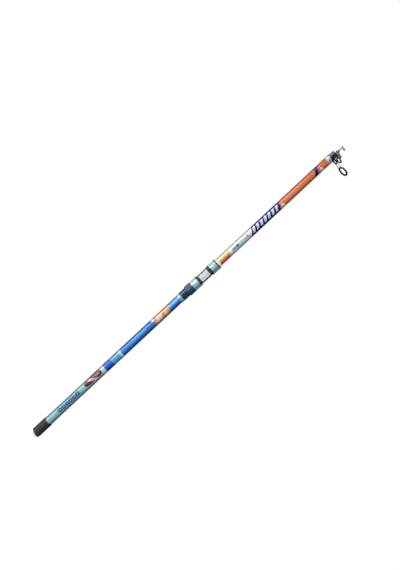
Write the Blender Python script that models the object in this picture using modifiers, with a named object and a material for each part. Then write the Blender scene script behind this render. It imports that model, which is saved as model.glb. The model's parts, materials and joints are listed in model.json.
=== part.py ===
"""Collapsed four-section telescopic surf rod, lying on its side.

Metres. The rod's axis is world X, with the butt end at X = 0 and the tip at
the far end. The reel foot's bay faces +Z and the line guides stand out in -Y.
"""

import math

import bmesh
import bpy

# Fits and resolution
GAP = 0.0003
MERGE = 0.00005
ROUND_STEPS = 32
HOOD_POINTS = 48
WIRE_STEPS = 3

# Blank of the butt section: radii, wall, and the place of its mouth
BUTT_RADIUS = 0.0126
MOUTH_RADIUS = 0.0121
BUTT_WALL = 0.00135
MOUTH_X = 1.150
COLLAR_LENGTH = 0.0138
COLLAR_WALL = 0.00045
COLLAR_STAND_OUT = 0.00035

# Inner sections: how far each slides, shows, and how thick it is at its tip
SLIDE_TRAVEL = 0.9985
SECTION_2_SHOWN = 0.0210
SECTION_3_SHOWN = 0.0095
TIP_SHOWN = 0.0220
SECTION_2_TIP_RADIUS = 0.0082
SECTION_3_TIP_RADIUS = 0.0044
TIP_RADIUS = 0.0010
SECTION_2_WALL = 0.0011
SECTION_3_WALL = 0.0010
TIP_WALL = 0.0009
SOLID_TIP_LENGTH = 0.350

# Screw plug, its pad, the bush that holds it and the rubber sleeve
PLUG_RIM_RADIUS = 0.0134
PLUG_RIM_LENGTH = 0.0060
PLUG_STEM_RADIUS = 0.0096
PLUG_STEM_LENGTH = 0.0110
PLUG_KNURLS = 16
PLUG_KNURL_DEPTH = 0.0004
PAD_THICKNESS = 0.0030
SLEEVE_WALL = 0.0012
SLEEVE_LENGTH = 0.0440

# Reel seat
SEAT_START = 0.5470
SEAT_RADIUS = 0.0139
REAR_TRIM_LENGTH = 0.0085
REAR_TRIM_RADIUS = 0.0135
THREAD_SHOWN = 0.0226
THREAD_LEAD = 0.0030
NUT_LENGTH = 0.0200
NUT_RADIUS = 0.0163
NUT_FLUTES = 14
NUT_FLUTE_DEPTH = 0.0011
NUT_BAND_LENGTH = 0.0036
HOOD_LENGTH = 0.0253
HOOD_LIP_LENGTH = 0.0044
HOOD_WALL = 0.0008
COVER_WALL = 0.0005
ARCH_CLEAR_HEIGHT = 0.0046
ARCH_HALF_WIDTH = 0.0090
ARCH_SQUARENESS = 5.0
ARCH_SLOPE_SHARE = 0.45
BAY_LENGTH = 0.0410
SADDLE_TOP = 0.0146
SADDLE_HALF_WIDTH = 0.0076
SADDLE_REACH = 0.0110
PLATFORM_BORDER = 0.0012
PLATE_SETBACK = 0.0044
PLATE_LENGTH = 0.0307
PLATE_WIDTH = 0.0194
PLATE_THICKNESS = 0.0006
PLATE_STAND_OUT = 0.0002
FLANGE_LENGTH = 0.0034
FLANGE_STAND_OUT = 0.0006
FRONT_TRIM_LENGTH = 0.0083

# Line guides: ring's place from the end of the section outside, its height, hoop, wire and ring sizes
GUIDE_1_AHEAD = 0.0012
GUIDE_1_HEIGHT = 0.0535
GUIDE_1_HOOP = 0.0147
GUIDE_1_RIM = 0.0010
GUIDE_1_WIRE = 0.0009
GUIDE_1_INSERT = 0.0014
BRACE_AHEAD = 0.0032
BRACE_HEIGHT = 0.0173
BRACE_RADIUS = 0.0072
BRACE_WIRE = 0.0012
BARREL_1_LENGTH = 0.0172
BARREL_1_RADIUS = 0.0107
GUIDE_2_BACK = 0.0060
GUIDE_2_HEIGHT = 0.0213
GUIDE_2_HOOP = 0.0089
GUIDE_2_RIM = 0.0008
GUIDE_2_WIRE = 0.0007
GUIDE_2_INSERT = 0.0011
BARREL_2_LENGTH = 0.0062
BARREL_2_RADIUS = 0.0055
GUIDE_3_BACK = 0.0062
GUIDE_3_HEIGHT = 0.0142
GUIDE_3_HOOP = 0.0060
GUIDE_3_RIM = 0.00065
GUIDE_3_WIRE = 0.00055
GUIDE_3_INSERT = 0.0008
FLOAT_RUN = 0.4990
FLOAT_BARREL_LENGTH = 0.0042
FLOAT_BARREL_WALL = 0.0008
FLOAT_RIM_RADIUS = 0.0042
FLOAT_RIM_LENGTH = 0.0012
TIP_RING_BACK = 0.0040
TIP_RING_HEIGHT = 0.0084
TIP_RING_HOOP = 0.0043
TIP_RING_WIRE = 0.00055
TIP_RING_INSERT = 0.00055
TIP_TOP_LENGTH = 0.0190
TIP_TOP_WALL = 0.0007
END_RING_LENGTH = 0.0026

LEG_SPREAD = math.radians(65.0)
WIRE_SINK_SHARE = 0.4


class Blank:
    """A hollow tapered section: its outside radius and wall along the rod."""

    def __init__(self, outside, wall):
        self.outside = outside
        self.wall = wall
        self.start = outside[0][0]
        self.end = outside[-1][0]

    def radius(self, x):
        for (x0, r0), (x1, r1) in zip(self.outside, self.outside[1:]):
            if x <= x1:
                return r0 + (r1 - r0) * (x - x0) / (x1 - x0)
        return self.outside[-1][1]

    def bore(self, x):
        return self.radius(x) - self.wall


def sliding_blank(outer, start, end, tip_radius, wall):
    """A section whose thick end wedges in the mouth of the one outside it."""
    wedge_start = outer.bore(start + SLIDE_TRAVEL) - GAP
    wedge_end_x = outer.end - SLIDE_TRAVEL
    wedge_end = outer.bore(outer.end) - GAP
    outside = [(start, wedge_start), (wedge_end_x, wedge_end), (end, tip_radius)]
    return Blank(outside, wall)


# Places along the rod, from the butt end
TUBE_START = PLUG_RIM_LENGTH + GAP
PAD_START = PLUG_RIM_LENGTH + PLUG_STEM_LENGTH + GAP
INNER_START = PAD_START + PAD_THICKNESS + GAP
SECTION_2_END = MOUTH_X + SECTION_2_SHOWN
SECTION_3_END = SECTION_2_END + SECTION_3_SHOWN
TIP_END = SECTION_3_END + TIP_SHOWN
GUIDE_1_X = MOUTH_X + GUIDE_1_AHEAD
GUIDE_2_X = SECTION_2_END - GUIDE_2_BACK
GUIDE_3_X = SECTION_3_END - GUIDE_3_BACK
TIP_RING_X = TIP_END - TIP_RING_BACK

BODY_START = SEAT_START + REAR_TRIM_LENGTH + GAP
NUT_START = BODY_START + THREAD_SHOWN
HOOD_START = NUT_START + NUT_LENGTH + GAP
HOOD_MOUTH = HOOD_START + HOOD_LENGTH
FIXED_MOUTH = HOOD_MOUTH + BAY_LENGTH
FIXED_END = FIXED_MOUTH + HOOD_LENGTH
BODY_END = FIXED_END + FLANGE_LENGTH
FRONT_TRIM_START = BODY_END + GAP
PLATE_START = HOOD_MOUTH + PLATE_SETBACK
PLATE_END = PLATE_START + PLATE_LENGTH

BUTT = Blank([(TUBE_START, BUTT_RADIUS), (MOUTH_X, MOUTH_RADIUS)], BUTT_WALL)
SECTION_2 = sliding_blank(BUTT, INNER_START, SECTION_2_END, SECTION_2_TIP_RADIUS, SECTION_2_WALL)
SECTION_3 = sliding_blank(SECTION_2, INNER_START, SECTION_3_END, SECTION_3_TIP_RADIUS, SECTION_3_WALL)
TIP_SECTION = sliding_blank(SECTION_3, INNER_START, TIP_END, TIP_RADIUS, TIP_WALL)

# Radii that follow from the fits
SEAT_BORE = BUTT.radius(SEAT_START) + GAP
HOOD_BORE = SEAT_RADIUS + GAP
HOOD_OUTSIDE = HOOD_BORE + HOOD_WALL
COVER_INSIDE = HOOD_OUTSIDE + GAP
COVER_OUTSIDE = COVER_INSIDE + COVER_WALL
ARCH_INSIDE = SADDLE_TOP + ARCH_CLEAR_HEIGHT


def clear_scene():
    for item in list(bpy.data.objects):
        bpy.data.objects.remove(item)


def new_collection(name):
    group = bpy.data.collections.new(name)
    bpy.context.scene.collection.children.link(group)
    return group


def finish(name, colour, roughness, metallic):
    material = bpy.data.materials.new(name)
    material.use_nodes = True
    shader = material.node_tree.nodes["Principled BSDF"]
    shader.inputs["Base Color"].default_value = (*colour, 1.0)
    shader.inputs["Roughness"].default_value = roughness
    shader.inputs["Metallic"].default_value = metallic
    return material


def make_finishes():
    return {
        "blue_paint": finish("blue_paint", (0.03, 0.13, 0.62), 0.25, 0.1),
        "dark_blank": finish("dark_blank", (0.02, 0.02, 0.025), 0.3, 0.0),
        "rubber": finish("rubber", (0.03, 0.03, 0.03), 0.8, 0.0),
        "turned_metal": finish("turned_metal", (0.55, 0.57, 0.60), 0.35, 1.0),
        "seat_plastic": finish("seat_plastic", (0.03, 0.045, 0.07), 0.4, 0.0),
        "hood_steel": finish("hood_steel", (0.75, 0.78, 0.80), 0.25, 1.0),
        "plate_silver": finish("plate_silver", (0.80, 0.85, 0.88), 0.35, 0.8),
        "pale_trim": finish("pale_trim", (0.82, 0.84, 0.85), 0.35, 0.3),
        "guide_black": finish("guide_black", (0.015, 0.015, 0.02), 0.3, 0.3),
        "ring_black": finish("ring_black", (0.01, 0.01, 0.012), 0.15, 0.0),
        "tip_grey": finish("tip_grey", (0.45, 0.47, 0.49), 0.35, 0.7),
    }


def settle(item):
    """Keep the object's evaluated mesh and drop its modifiers."""
    depsgraph = bpy.context.evaluated_depsgraph_get()
    mesh = bpy.data.meshes.new_from_object(item.evaluated_get(depsgraph))
    item.modifiers.clear()
    item.data = mesh
    mesh.shade_smooth()
    mesh.set_sharp_from_angle(angle=math.radians(35.0))


def add_object(name, mesh, material, group):
    item = bpy.data.objects.new(name, mesh)
    group.objects.link(item)
    if material is not None:
        mesh.materials.append(material)
    return item


def turned(name, profile, material, group, steps=ROUND_STEPS):
    """Turn a profile of (x, radius) points about the rod's axis.

    The points run along the outside from the tip's side to the butt's side,
    and back along the bore where the piece has one.
    """
    origin = min(x for x, radius in profile)
    points = [(radius, 0.0, x - origin) for x, radius in profile]
    edges = [(i, i + 1) for i in range(len(points) - 1)]
    on_axis = profile[0][1] == 0.0
    if not on_axis:
        edges.append((len(points) - 1, 0))
    mesh = bpy.data.meshes.new(name)
    mesh.from_pydata(points, edges, [])
    item = add_object(name, mesh, material, group)
    item.location = (origin, 0.0, 0.0)
    item.rotation_euler = (0.0, math.pi / 2.0, 0.0)
    screw = item.modifiers.new("turn", "SCREW")
    screw.axis = "Z"
    screw.steps = steps
    screw.render_steps = steps
    screw.use_merge_vertices = True
    screw.merge_threshold = MERGE
    bpy.context.view_layer.update()
    settle(item)
    return item


def ring(name, x0, x1, outside, inside, material, group):
    """A plain tube from x0 to x1."""
    profile = [(x1, outside), (x0, outside), (x0, inside), (x1, inside)]
    return turned(name, profile, material, group)


def loft(name, outer, inner, material, group):
    """A shell between outer and inner stations of (x, ring of (y, z) points)."""
    build = bmesh.new()

    def skin(stations):
        rows = []
        for x, points in stations:
            rows.append([build.verts.new((x, y, z)) for y, z in points])
        for low, high in zip(rows, rows[1:]):
            bridge(low, high)
        return rows

    def bridge(low, high):
        count = len(low)
        for i in range(count):
            j = (i + 1) % count
            build.faces.new((low[i], low[j], high[j], high[i]))

    outside = skin(outer)
    if inner is None:
        build.faces.new(outside[0])
        build.faces.new(outside[-1])
    else:
        inside = skin(inner)
        bridge(outside[0], inside[0])
        bridge(outside[-1], inside[-1])
    bmesh.ops.recalc_face_normals(build, faces=build.faces[:])
    mesh = bpy.data.meshes.new(name)
    build.to_mesh(mesh)
    build.free()
    item = add_object(name, mesh, material, group)
    mesh.shade_smooth()
    mesh.set_sharp_from_angle(angle=math.radians(35.0))
    return item


def circle_points(radius, count):
    step = 2.0 * math.pi / count
    return [(radius * math.sin(step * i), radius * math.cos(step * i)) for i in range(count)]


def fluted_points(radius, depth, flutes, points_per_flute):
    """A round outline with shallow grooves along the axis."""
    count = flutes * points_per_flute
    points = []
    for i in range(count):
        angle = 2.0 * math.pi * i / count
        groove = (0.5 - 0.5 * math.cos(flutes * angle)) ** 2
        reach = radius - depth * groove
        points.append((reach * math.sin(angle), reach * math.cos(angle)))
    return points


def hood_points(radius, arch_top, arch_half_width):
    """A circle with a flat-topped arch on its +Z side for the reel's foot."""
    points = []
    for i in range(HOOD_POINTS):
        angle = 2.0 * math.pi * (i + 0.5) / HOOD_POINTS
        up = math.cos(angle)
        side = abs(math.sin(angle))
        reach = radius
        if up > 0.0 and arch_top > radius:
            arch = (up / arch_top) ** ARCH_SQUARENESS + (side / arch_half_width) ** ARCH_SQUARENESS
            reach = max(radius, arch ** (-1.0 / ARCH_SQUARENESS))
        points.append((reach * math.sin(angle), reach * math.cos(angle)))
    return points


def hood_stations(closed_x, mouth_x, from_share, to_share, radius, stand_off):
    """Stations of a hood's skin from its closed end to its mouth.

    The arch rises along the first part of the hood and then runs level;
    stand_off is the skin's distance from the pocket's own surface.
    """
    stations = []
    for share in (0.0, 0.12, 0.26, ARCH_SLOPE_SHARE, 1.0):
        share = min(max(share, from_share), to_share)
        x = closed_x + (mouth_x - closed_x) * share
        rise = math.sin(0.5 * math.pi * min(share / ARCH_SLOPE_SHARE, 1.0))
        top = radius + (ARCH_INSIDE + stand_off - radius) * rise
        if stations and abs(stations[-1][0] - x) < MERGE:
            continue
        stations.append((x, hood_points(radius, top, ARCH_HALF_WIDTH + stand_off)))
    return stations


def hood_frame(name, closed_x, mouth_x, material, group):
    """The moulded hood: a thin seat for its cover, then a thicker lip."""
    cover_share = 1.0 - HOOD_LIP_LENGTH / HOOD_LENGTH
    lip_stand_off = COVER_OUTSIDE - HOOD_BORE
    seat = hood_stations(closed_x, mouth_x, 0.0, cover_share, HOOD_OUTSIDE, HOOD_WALL)
    lip = hood_stations(closed_x, mouth_x, cover_share, 1.0, COVER_OUTSIDE, lip_stand_off)
    edge_break = GAP if mouth_x < closed_x else -GAP
    last_x = lip.pop()[0]
    lip.append((last_x + edge_break, hood_points(COVER_OUTSIDE, ARCH_INSIDE + lip_stand_off,
                                                 ARCH_HALF_WIDTH + lip_stand_off)))
    slim = lip_stand_off - GAP
    lip.append((last_x, hood_points(COVER_OUTSIDE - GAP, ARCH_INSIDE + slim, ARCH_HALF_WIDTH + slim)))
    bore = hood_stations(closed_x, mouth_x, 0.0, 1.0, HOOD_BORE, 0.0)
    return loft(name, seat + lip, bore, material, group)


def hood_cover(name, closed_x, mouth_x, material, group):
    """The steel skin over the hood, from its closed end to the lip."""
    end_share = 1.0 - (HOOD_LIP_LENGTH + GAP) / HOOD_LENGTH
    stand_off = HOOD_WALL + GAP
    inside = hood_stations(closed_x, mouth_x, 0.0, end_share, COVER_INSIDE, stand_off)
    outside = hood_stations(closed_x, mouth_x, 0.0, end_share, COVER_OUTSIDE, stand_off + COVER_WALL)
    return loft(name, outside, inside, material, group)


def unite(base, others, operation="UNION"):
    """Join meshes into the base, or cut them from it, and remove them."""
    for other in others:
        step = base.modifiers.new(operation.lower(), "BOOLEAN")
        step.operation = operation
        step.solver = "EXACT"
        step.object = other
        bpy.context.view_layer.update()
        settle(base)
        bpy.data.objects.remove(other)
    return base


def block(name, x0, x1, half_width, z0, z1, corner, group):
    """A box with its upright edges rounded."""
    bpy.ops.mesh.primitive_cube_add(size=1.0)
    item = bpy.context.object
    item.name = name
    bpy.context.collection.objects.unlink(item)
    group.objects.link(item)
    size = (x1 - x0, 2.0 * half_width, z1 - z0)
    for vertex in item.data.vertices:
        vertex.co = [vertex.co[axis] * size[axis] for axis in range(3)]
    item.location = ((x0 + x1) / 2.0, 0.0, (z0 + z1) / 2.0)
    build = bmesh.new()
    build.from_mesh(item.data)
    upright = [edge for edge in build.edges if abs(edge.verts[0].co.z - edge.verts[1].co.z) > MERGE]
    bmesh.ops.bevel(build, geom=upright, offset=corner, segments=4, profile=0.5, affect="EDGES")
    build.to_mesh(item.data)
    build.free()
    bpy.context.view_layer.update()
    return item


def torus(name, x, height, major, minor, material, group, major_steps=32, minor_steps=6):
    """A ring across the rod, with its centre out in -Y."""
    bpy.ops.mesh.primitive_torus_add(
        major_radius=major,
        minor_radius=minor,
        major_segments=major_steps,
        minor_segments=minor_steps,
        location=(x, -height, 0.0),
        rotation=(0.0, math.pi / 2.0, 0.0),
    )
    item = bpy.context.object
    item.name = name
    bpy.context.collection.objects.unlink(item)
    group.objects.link(item)
    item.data.shade_smooth()
    if material is not None:
        item.data.materials.append(material)
    bpy.context.view_layer.update()
    return item


def wire(name, points, radius, group):
    """A bent wire with flat ends, as a closed mesh."""
    path = bpy.data.curves.new(name, "CURVE")
    path.dimensions = "3D"
    path.bevel_depth = radius
    path.bevel_resolution = 2
    path.use_fill_caps = True
    path.resolution_u = WIRE_STEPS
    spline = path.splines.new("BEZIER")
    spline.bezier_points.add(len(points) - 1)
    for knot, point in zip(spline.bezier_points, points):
        knot.co = point
        knot.handle_left_type = "AUTO"
        knot.handle_right_type = "AUTO"
    curve = bpy.data.objects.new(name + "_path", path)
    group.objects.link(curve)
    bpy.context.view_layer.update()
    depsgraph = bpy.context.evaluated_depsgraph_get()
    mesh = bpy.data.meshes.new_from_object(curve.evaluated_get(depsgraph))
    build = bmesh.new()
    build.from_mesh(mesh)
    bmesh.ops.remove_doubles(build, verts=build.verts[:], dist=MERGE)
    build.to_mesh(mesh)
    build.free()
    item = bpy.data.objects.new(name, mesh)
    group.objects.link(item)
    item.matrix_world = curve.matrix_world
    bpy.data.objects.remove(curve)
    return item


def guide_frame(name, barrel, ring_x, height, hoop, rim, wire_radius, barrel_radius, legs, hoop_angle,
                group, braces=()):
    """Barrel, hoop, two splayed legs and any brace between them, joined into one piece.

    legs holds the leg's points between foot and hoop as (x, height, half spread).
    """
    foot_reach = barrel_radius + (1.0 - WIRE_SINK_SHARE) * wire_radius
    foot_height = foot_reach * math.cos(LEG_SPREAD)
    foot_side = foot_reach * math.sin(LEG_SPREAD)
    end_height = height - hoop * math.cos(hoop_angle)
    end_side = hoop * math.sin(hoop_angle)
    parts = [torus(name + "_hoop", ring_x, height, hoop, rim, None, group), *braces]
    for side in (-1.0, 1.0):
        points = []
        for x, rise, spread in legs:
            on_barrel = rise is None
            leg_height = foot_height if on_barrel else rise
            leg_side = foot_side if on_barrel else spread
            points.append((x, -leg_height, side * leg_side))
        points.append((ring_x, -end_height, side * end_side))
        parts.append(wire(name + "_leg", points, wire_radius, group))
    return unite(barrel, parts)


def frame_of(name, x, group):
    """An empty on the rod's axis that carries one moving body."""
    empty = bpy.data.objects.new(name, None)
    empty.location = (x, 0.0, 0.0)
    empty.empty_display_size = 0.01
    group.objects.link(empty)
    return empty


def carry(empty, items):
    for item in items:
        item.location = (
            item.location.x - empty.location.x,
            item.location.y - empty.location.y,
            item.location.z - empty.location.z,
        )
        item.parent = empty


def make_butt_tube(finishes, group):
    step_x = MOUTH_X - COLLAR_LENGTH - GAP
    step_radius = MOUTH_RADIUS + COLLAR_STAND_OUT - COLLAR_WALL - GAP
    profile = [
        (MOUTH_X - GAP, step_radius),
        (step_x, step_radius),
        (step_x, BUTT.radius(step_x)),
        (TUBE_START, BUTT_RADIUS),
        (TUBE_START, BUTT.bore(TUBE_START)),
        (MOUTH_X - GAP, BUTT.bore(MOUTH_X)),
    ]
    return turned("butt_tube", profile, finishes["blue_paint"], group)


def make_mouth_collar(finishes, group):
    outside = MOUTH_RADIUS + COLLAR_STAND_OUT
    start = MOUTH_X - COLLAR_LENGTH
    inside = outside - COLLAR_WALL
    return ring("mouth_collar", start, MOUTH_X, outside, inside, finishes["turned_metal"], group)


def make_butt_end(finishes, group):
    sleeve_inside = BUTT_RADIUS + GAP
    sleeve_outside = sleeve_inside + SLEEVE_WALL
    sleeve_end = TUBE_START + SLEEVE_LENGTH
    sleeve = turned("butt_sleeve", [
        (sleeve_end, sleeve_inside + SLEEVE_WALL / 3.0),
        (sleeve_end - SLEEVE_WALL, sleeve_outside),
        (TUBE_START, sleeve_outside),
        (TUBE_START, sleeve_inside),
        (sleeve_end, sleeve_inside),
    ], finishes["rubber"], group)
    bush_outside = BUTT.bore(PAD_START) - GAP
    bush_inside = PLUG_STEM_RADIUS + GAP
    bush = ring("butt_bush", TUBE_START, PAD_START, bush_outside, bush_inside,
                finishes["turned_metal"], group)
    return [sleeve, bush]


def make_butt_plug(finishes, group):
    points_per_knurl = 4
    count = PLUG_KNURLS * points_per_knurl
    edge = 2.0 * PLUG_KNURL_DEPTH
    knurled = fluted_points(PLUG_RIM_RADIUS, PLUG_KNURL_DEPTH, PLUG_KNURLS, points_per_knurl)
    round_end = circle_points(PLUG_RIM_RADIUS - edge, count)
    stem = circle_points(PLUG_STEM_RADIUS, count)
    stations = [
        (0.0, round_end),
        (edge, knurled),
        (PLUG_RIM_LENGTH - edge, knurled),
        (PLUG_RIM_LENGTH, round_end),
        (PLUG_RIM_LENGTH, stem),
        (PLUG_RIM_LENGTH + PLUG_STEM_LENGTH, stem),
    ]
    return loft("butt_plug", stations, None, finishes["turned_metal"], group)


def make_butt_pad(finishes, group):
    profile = [
        (PAD_START + PAD_THICKNESS, 0.0),
        (PAD_START + PAD_THICKNESS, PLUG_STEM_RADIUS),
        (PAD_START, PLUG_STEM_RADIUS),
        (PAD_START, 0.0),
    ]
    return turned("butt_pad", profile, finishes["rubber"], group)


def make_seat_trims(finishes, group):
    rear_inside = SEAT_BORE
    rear_end = SEAT_START + REAR_TRIM_LENGTH
    soft_edge = (REAR_TRIM_RADIUS - rear_inside) * 0.7
    rear = turned("rear_trim_ring", [
        (rear_end, REAR_TRIM_RADIUS),
        (SEAT_START + 2.0 * soft_edge, REAR_TRIM_RADIUS),
        (SEAT_START + 0.5 * soft_edge, REAR_TRIM_RADIUS - 0.4 * soft_edge),
        (SEAT_START, REAR_TRIM_RADIUS - soft_edge),
        (SEAT_START, rear_inside),
        (rear_end, rear_inside),
    ], finishes["pale_trim"], group)
    front_end = FRONT_TRIM_START + FRONT_TRIM_LENGTH
    middle = FRONT_TRIM_START + 0.4 * FRONT_TRIM_LENGTH
    thin_end = SEAT_BORE + GAP
    front = turned("front_trim_ring", [
        (front_end, thin_end),
        (middle, (thin_end + COVER_OUTSIDE) / 2.0),
        (FRONT_TRIM_START, COVER_OUTSIDE),
        (FRONT_TRIM_START, SEAT_BORE),
        (front_end, SEAT_BORE),
    ], finishes["pale_trim"], group)
    return [rear, front]


def make_seat_body(finishes, group, cutters):
    lead_radius = SEAT_RADIUS - THREAD_LEAD / 4.0
    body = turned("reel_seat_body", [
        (BODY_END, SEAT_RADIUS),
        (BODY_START + THREAD_LEAD, SEAT_RADIUS),
        (BODY_START, lead_radius),
        (BODY_START, SEAT_BORE),
        (BODY_END, SEAT_BORE),
    ], finishes["seat_plastic"], group)
    platform_half = PLATE_WIDTH / 2.0 + PLATFORM_BORDER
    saddle = block("saddle", HOOD_MOUTH - SADDLE_REACH, FIXED_MOUTH + SADDLE_REACH,
                   SADDLE_HALF_WIDTH, 0.0, SADDLE_TOP, SADDLE_HALF_WIDTH * 0.45, cutters)
    platform = block("platform", PLATE_START - PLATFORM_BORDER, PLATE_END + PLATFORM_BORDER,
                     platform_half, 0.0, SADDLE_TOP, PLATFORM_BORDER * 1.5, cutters)
    unite(body, [saddle, platform])
    bore = turned("bore", [
        (BODY_END + GAP, 0.0),
        (BODY_END + GAP, SEAT_BORE),
        (BODY_START - GAP, SEAT_BORE),
        (BODY_START - GAP, 0.0),
    ], None, cutters)
    recess_floor = SADDLE_TOP + PLATE_STAND_OUT - PLATE_THICKNESS - GAP
    recess = block("recess", PLATE_START - GAP, PLATE_END + GAP, PLATE_WIDTH / 2.0 + GAP,
                   recess_floor, SADDLE_TOP + PLATE_THICKNESS, PLATFORM_BORDER, cutters)
    unite(body, [bore, recess], "DIFFERENCE")
    plate_bottom = recess_floor + GAP
    plate = block("foot_plate", PLATE_START, PLATE_END, PLATE_WIDTH / 2.0,
                  plate_bottom, plate_bottom + PLATE_THICKNESS, PLATFORM_BORDER - GAP, group)
    plate.data.materials.append(finishes["plate_silver"])
    return [body, plate]


def make_fixed_hood(finishes, group):
    frame = hood_frame("fixed_hood", FIXED_END, FIXED_MOUTH, finishes["seat_plastic"], group)
    flange_radius = COVER_OUTSIDE + FLANGE_STAND_OUT
    break_edge = FLANGE_STAND_OUT / 2.0
    start = FIXED_END + GAP
    flange = turned("hood_flange", [
        (BODY_END, flange_radius - break_edge),
        (BODY_END - break_edge, flange_radius),
        (start + break_edge, flange_radius),
        (start, flange_radius - break_edge),
        (start, HOOD_BORE),
        (BODY_END, HOOD_BORE),
    ], finishes["seat_plastic"], group)
    cover = hood_cover("fixed_hood_cover", FIXED_END, FIXED_MOUTH, finishes["hood_steel"], group)
    return [frame, flange, cover]


def make_moving_hood(finishes, group):
    frame = hood_frame("moving_hood", HOOD_START, HOOD_MOUTH, finishes["seat_plastic"], group)
    cover = hood_cover("moving_hood_cover", HOOD_START, HOOD_MOUTH, finishes["hood_steel"], group)
    return [frame, cover]


def make_lock_nut(finishes, group):
    per_flute = 4
    count = NUT_FLUTES * per_flute
    end = NUT_START + NUT_LENGTH
    edge = NUT_FLUTE_DEPTH * 0.8
    small = circle_points(NUT_RADIUS - edge, count)
    fluted = fluted_points(NUT_RADIUS, NUT_FLUTE_DEPTH, NUT_FLUTES, per_flute)
    plain = circle_points(NUT_RADIUS - NUT_FLUTE_DEPTH, count)
    band = circle_points(NUT_RADIUS, count)
    flute_end = end - NUT_BAND_LENGTH
    outside = [
        (NUT_START, small),
        (NUT_START + edge, fluted),
        (flute_end - edge, fluted),
        (flute_end, plain),
        (flute_end + edge, band),
        (end - edge, band),
        (end, small),
    ]
    bore = circle_points(HOOD_BORE, count)
    return loft("lock_nut", outside, [(NUT_START, bore), (end, bore)], finishes["seat_plastic"], group)


def make_section(name, blank, finishes, group):
    """A hollow section with its wedge taper, open at both ends."""
    profile = [(x, radius) for x, radius in reversed(blank.outside)]
    profile += [(x, radius - blank.wall) for x, radius in blank.outside]
    return turned(name, profile, finishes["dark_blank"], group)


def make_end_ring(name, blank, end, outside, finishes, group):
    inside = blank.radius(end - END_RING_LENGTH) + GAP
    return ring(name, end - END_RING_LENGTH, end, outside, inside, finishes["turned_metal"], group)


def make_barrel(name, blank, start, length, outside, finishes, group):
    inside = blank.radius(start) + GAP
    return ring(name, start, start + length, outside, inside, finishes["guide_black"], group)


def make_guide_1(finishes, group):
    barrel_start = MOUTH_X + GAP
    barrel = make_barrel("guide_1_frame", SECTION_2, barrel_start, BARREL_1_LENGTH,
                         BARREL_1_RADIUS, finishes, group)
    brace_x = MOUTH_X + BRACE_AHEAD
    brace = torus("guide_1_brace", brace_x, BRACE_HEIGHT, BRACE_RADIUS, BRACE_WIRE, None, group,
                  major_steps=20)
    legs = [
        (barrel_start + 0.85 * BARREL_1_LENGTH, None, None),
        (barrel_start + 0.45 * BARREL_1_LENGTH, None, None),
        (brace_x + BRACE_WIRE, BARREL_1_RADIUS, BARREL_1_RADIUS * 0.95),
        (brace_x, BRACE_HEIGHT + BRACE_RADIUS * 0.38, BRACE_RADIUS * 0.94),
    ]
    frame = guide_frame("guide_1_frame", barrel, GUIDE_1_X, GUIDE_1_HEIGHT, GUIDE_1_HOOP, GUIDE_1_RIM,
                        GUIDE_1_WIRE, BARREL_1_RADIUS, legs, math.radians(40.0), group, [brace])
    insert_major = GUIDE_1_HOOP - GUIDE_1_RIM - GAP - GUIDE_1_INSERT
    insert = torus("guide_1_ring", GUIDE_1_X, GUIDE_1_HEIGHT, insert_major, GUIDE_1_INSERT,
                   finishes["ring_black"], group)
    return [frame, insert]


def make_guide_2(finishes, group):
    barrel_start = SECTION_2_END + GAP
    barrel = make_barrel("guide_2_frame", SECTION_3, barrel_start, BARREL_2_LENGTH,
                         BARREL_2_RADIUS, finishes, group)
    clear = BARREL_1_RADIUS + 2.0 * GUIDE_2_WIRE
    legs = [
        (barrel_start + 0.85 * BARREL_2_LENGTH, None, None),
        (barrel_start + 0.50 * BARREL_2_LENGTH, None, None),
        (barrel_start + 0.17 * BARREL_2_LENGTH, clear * 0.92, clear * 0.58),
        (barrel_start - 0.25 * BARREL_2_LENGTH, clear * 1.12, clear * 0.66),
    ]
    frame = guide_frame("guide_2_frame", barrel, GUIDE_2_X, GUIDE_2_HEIGHT, GUIDE_2_HOOP, GUIDE_2_RIM,
                        GUIDE_2_WIRE, BARREL_2_RADIUS, legs, math.radians(55.0), group)
    insert_major = GUIDE_2_HOOP - GUIDE_2_RIM - GAP - GUIDE_2_INSERT
    insert = torus("guide_2_ring", GUIDE_2_X, GUIDE_2_HEIGHT, insert_major, GUIDE_2_INSERT,
                   finishes["ring_black"], group)
    return [frame, insert]


def make_float_guide(finishes, group):
    start = SECTION_3_END + GAP
    end = start + FLOAT_BARREL_LENGTH
    bore = TIP_SECTION.radius(start - FLOAT_RUN) + GAP
    outside = bore + FLOAT_BARREL_WALL
    rim_end = start + FLOAT_RIM_LENGTH
    barrel = turned("float_guide_frame", [
        (end, outside),
        (rim_end, outside),
        (rim_end, FLOAT_RIM_RADIUS),
        (start, FLOAT_RIM_RADIUS),
        (start, bore),
        (end, bore),
    ], finishes["guide_black"], group)
    clear = BARREL_2_RADIUS + 4.0 * GUIDE_3_WIRE
    legs = [
        (start + 0.92 * FLOAT_BARREL_LENGTH, None, None),
        (start + 0.55 * FLOAT_BARREL_LENGTH, None, None),
        (start + 0.25 * FLOAT_BARREL_LENGTH, clear * 0.80, clear * 0.48),
        (start - 0.60 * FLOAT_BARREL_LENGTH, clear * 1.10, clear * 0.56),
    ]
    frame = guide_frame("float_guide_frame", barrel, GUIDE_3_X, GUIDE_3_HEIGHT, GUIDE_3_HOOP, GUIDE_3_RIM,
                        GUIDE_3_WIRE, outside, legs, math.radians(55.0), group)
    insert_major = GUIDE_3_HOOP - GUIDE_3_RIM - GAP - GUIDE_3_INSERT
    insert = torus("float_guide_ring", GUIDE_3_X, GUIDE_3_HEIGHT, insert_major, GUIDE_3_INSERT,
                   finishes["ring_black"], group, major_steps=24)
    return [frame, insert]


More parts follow.
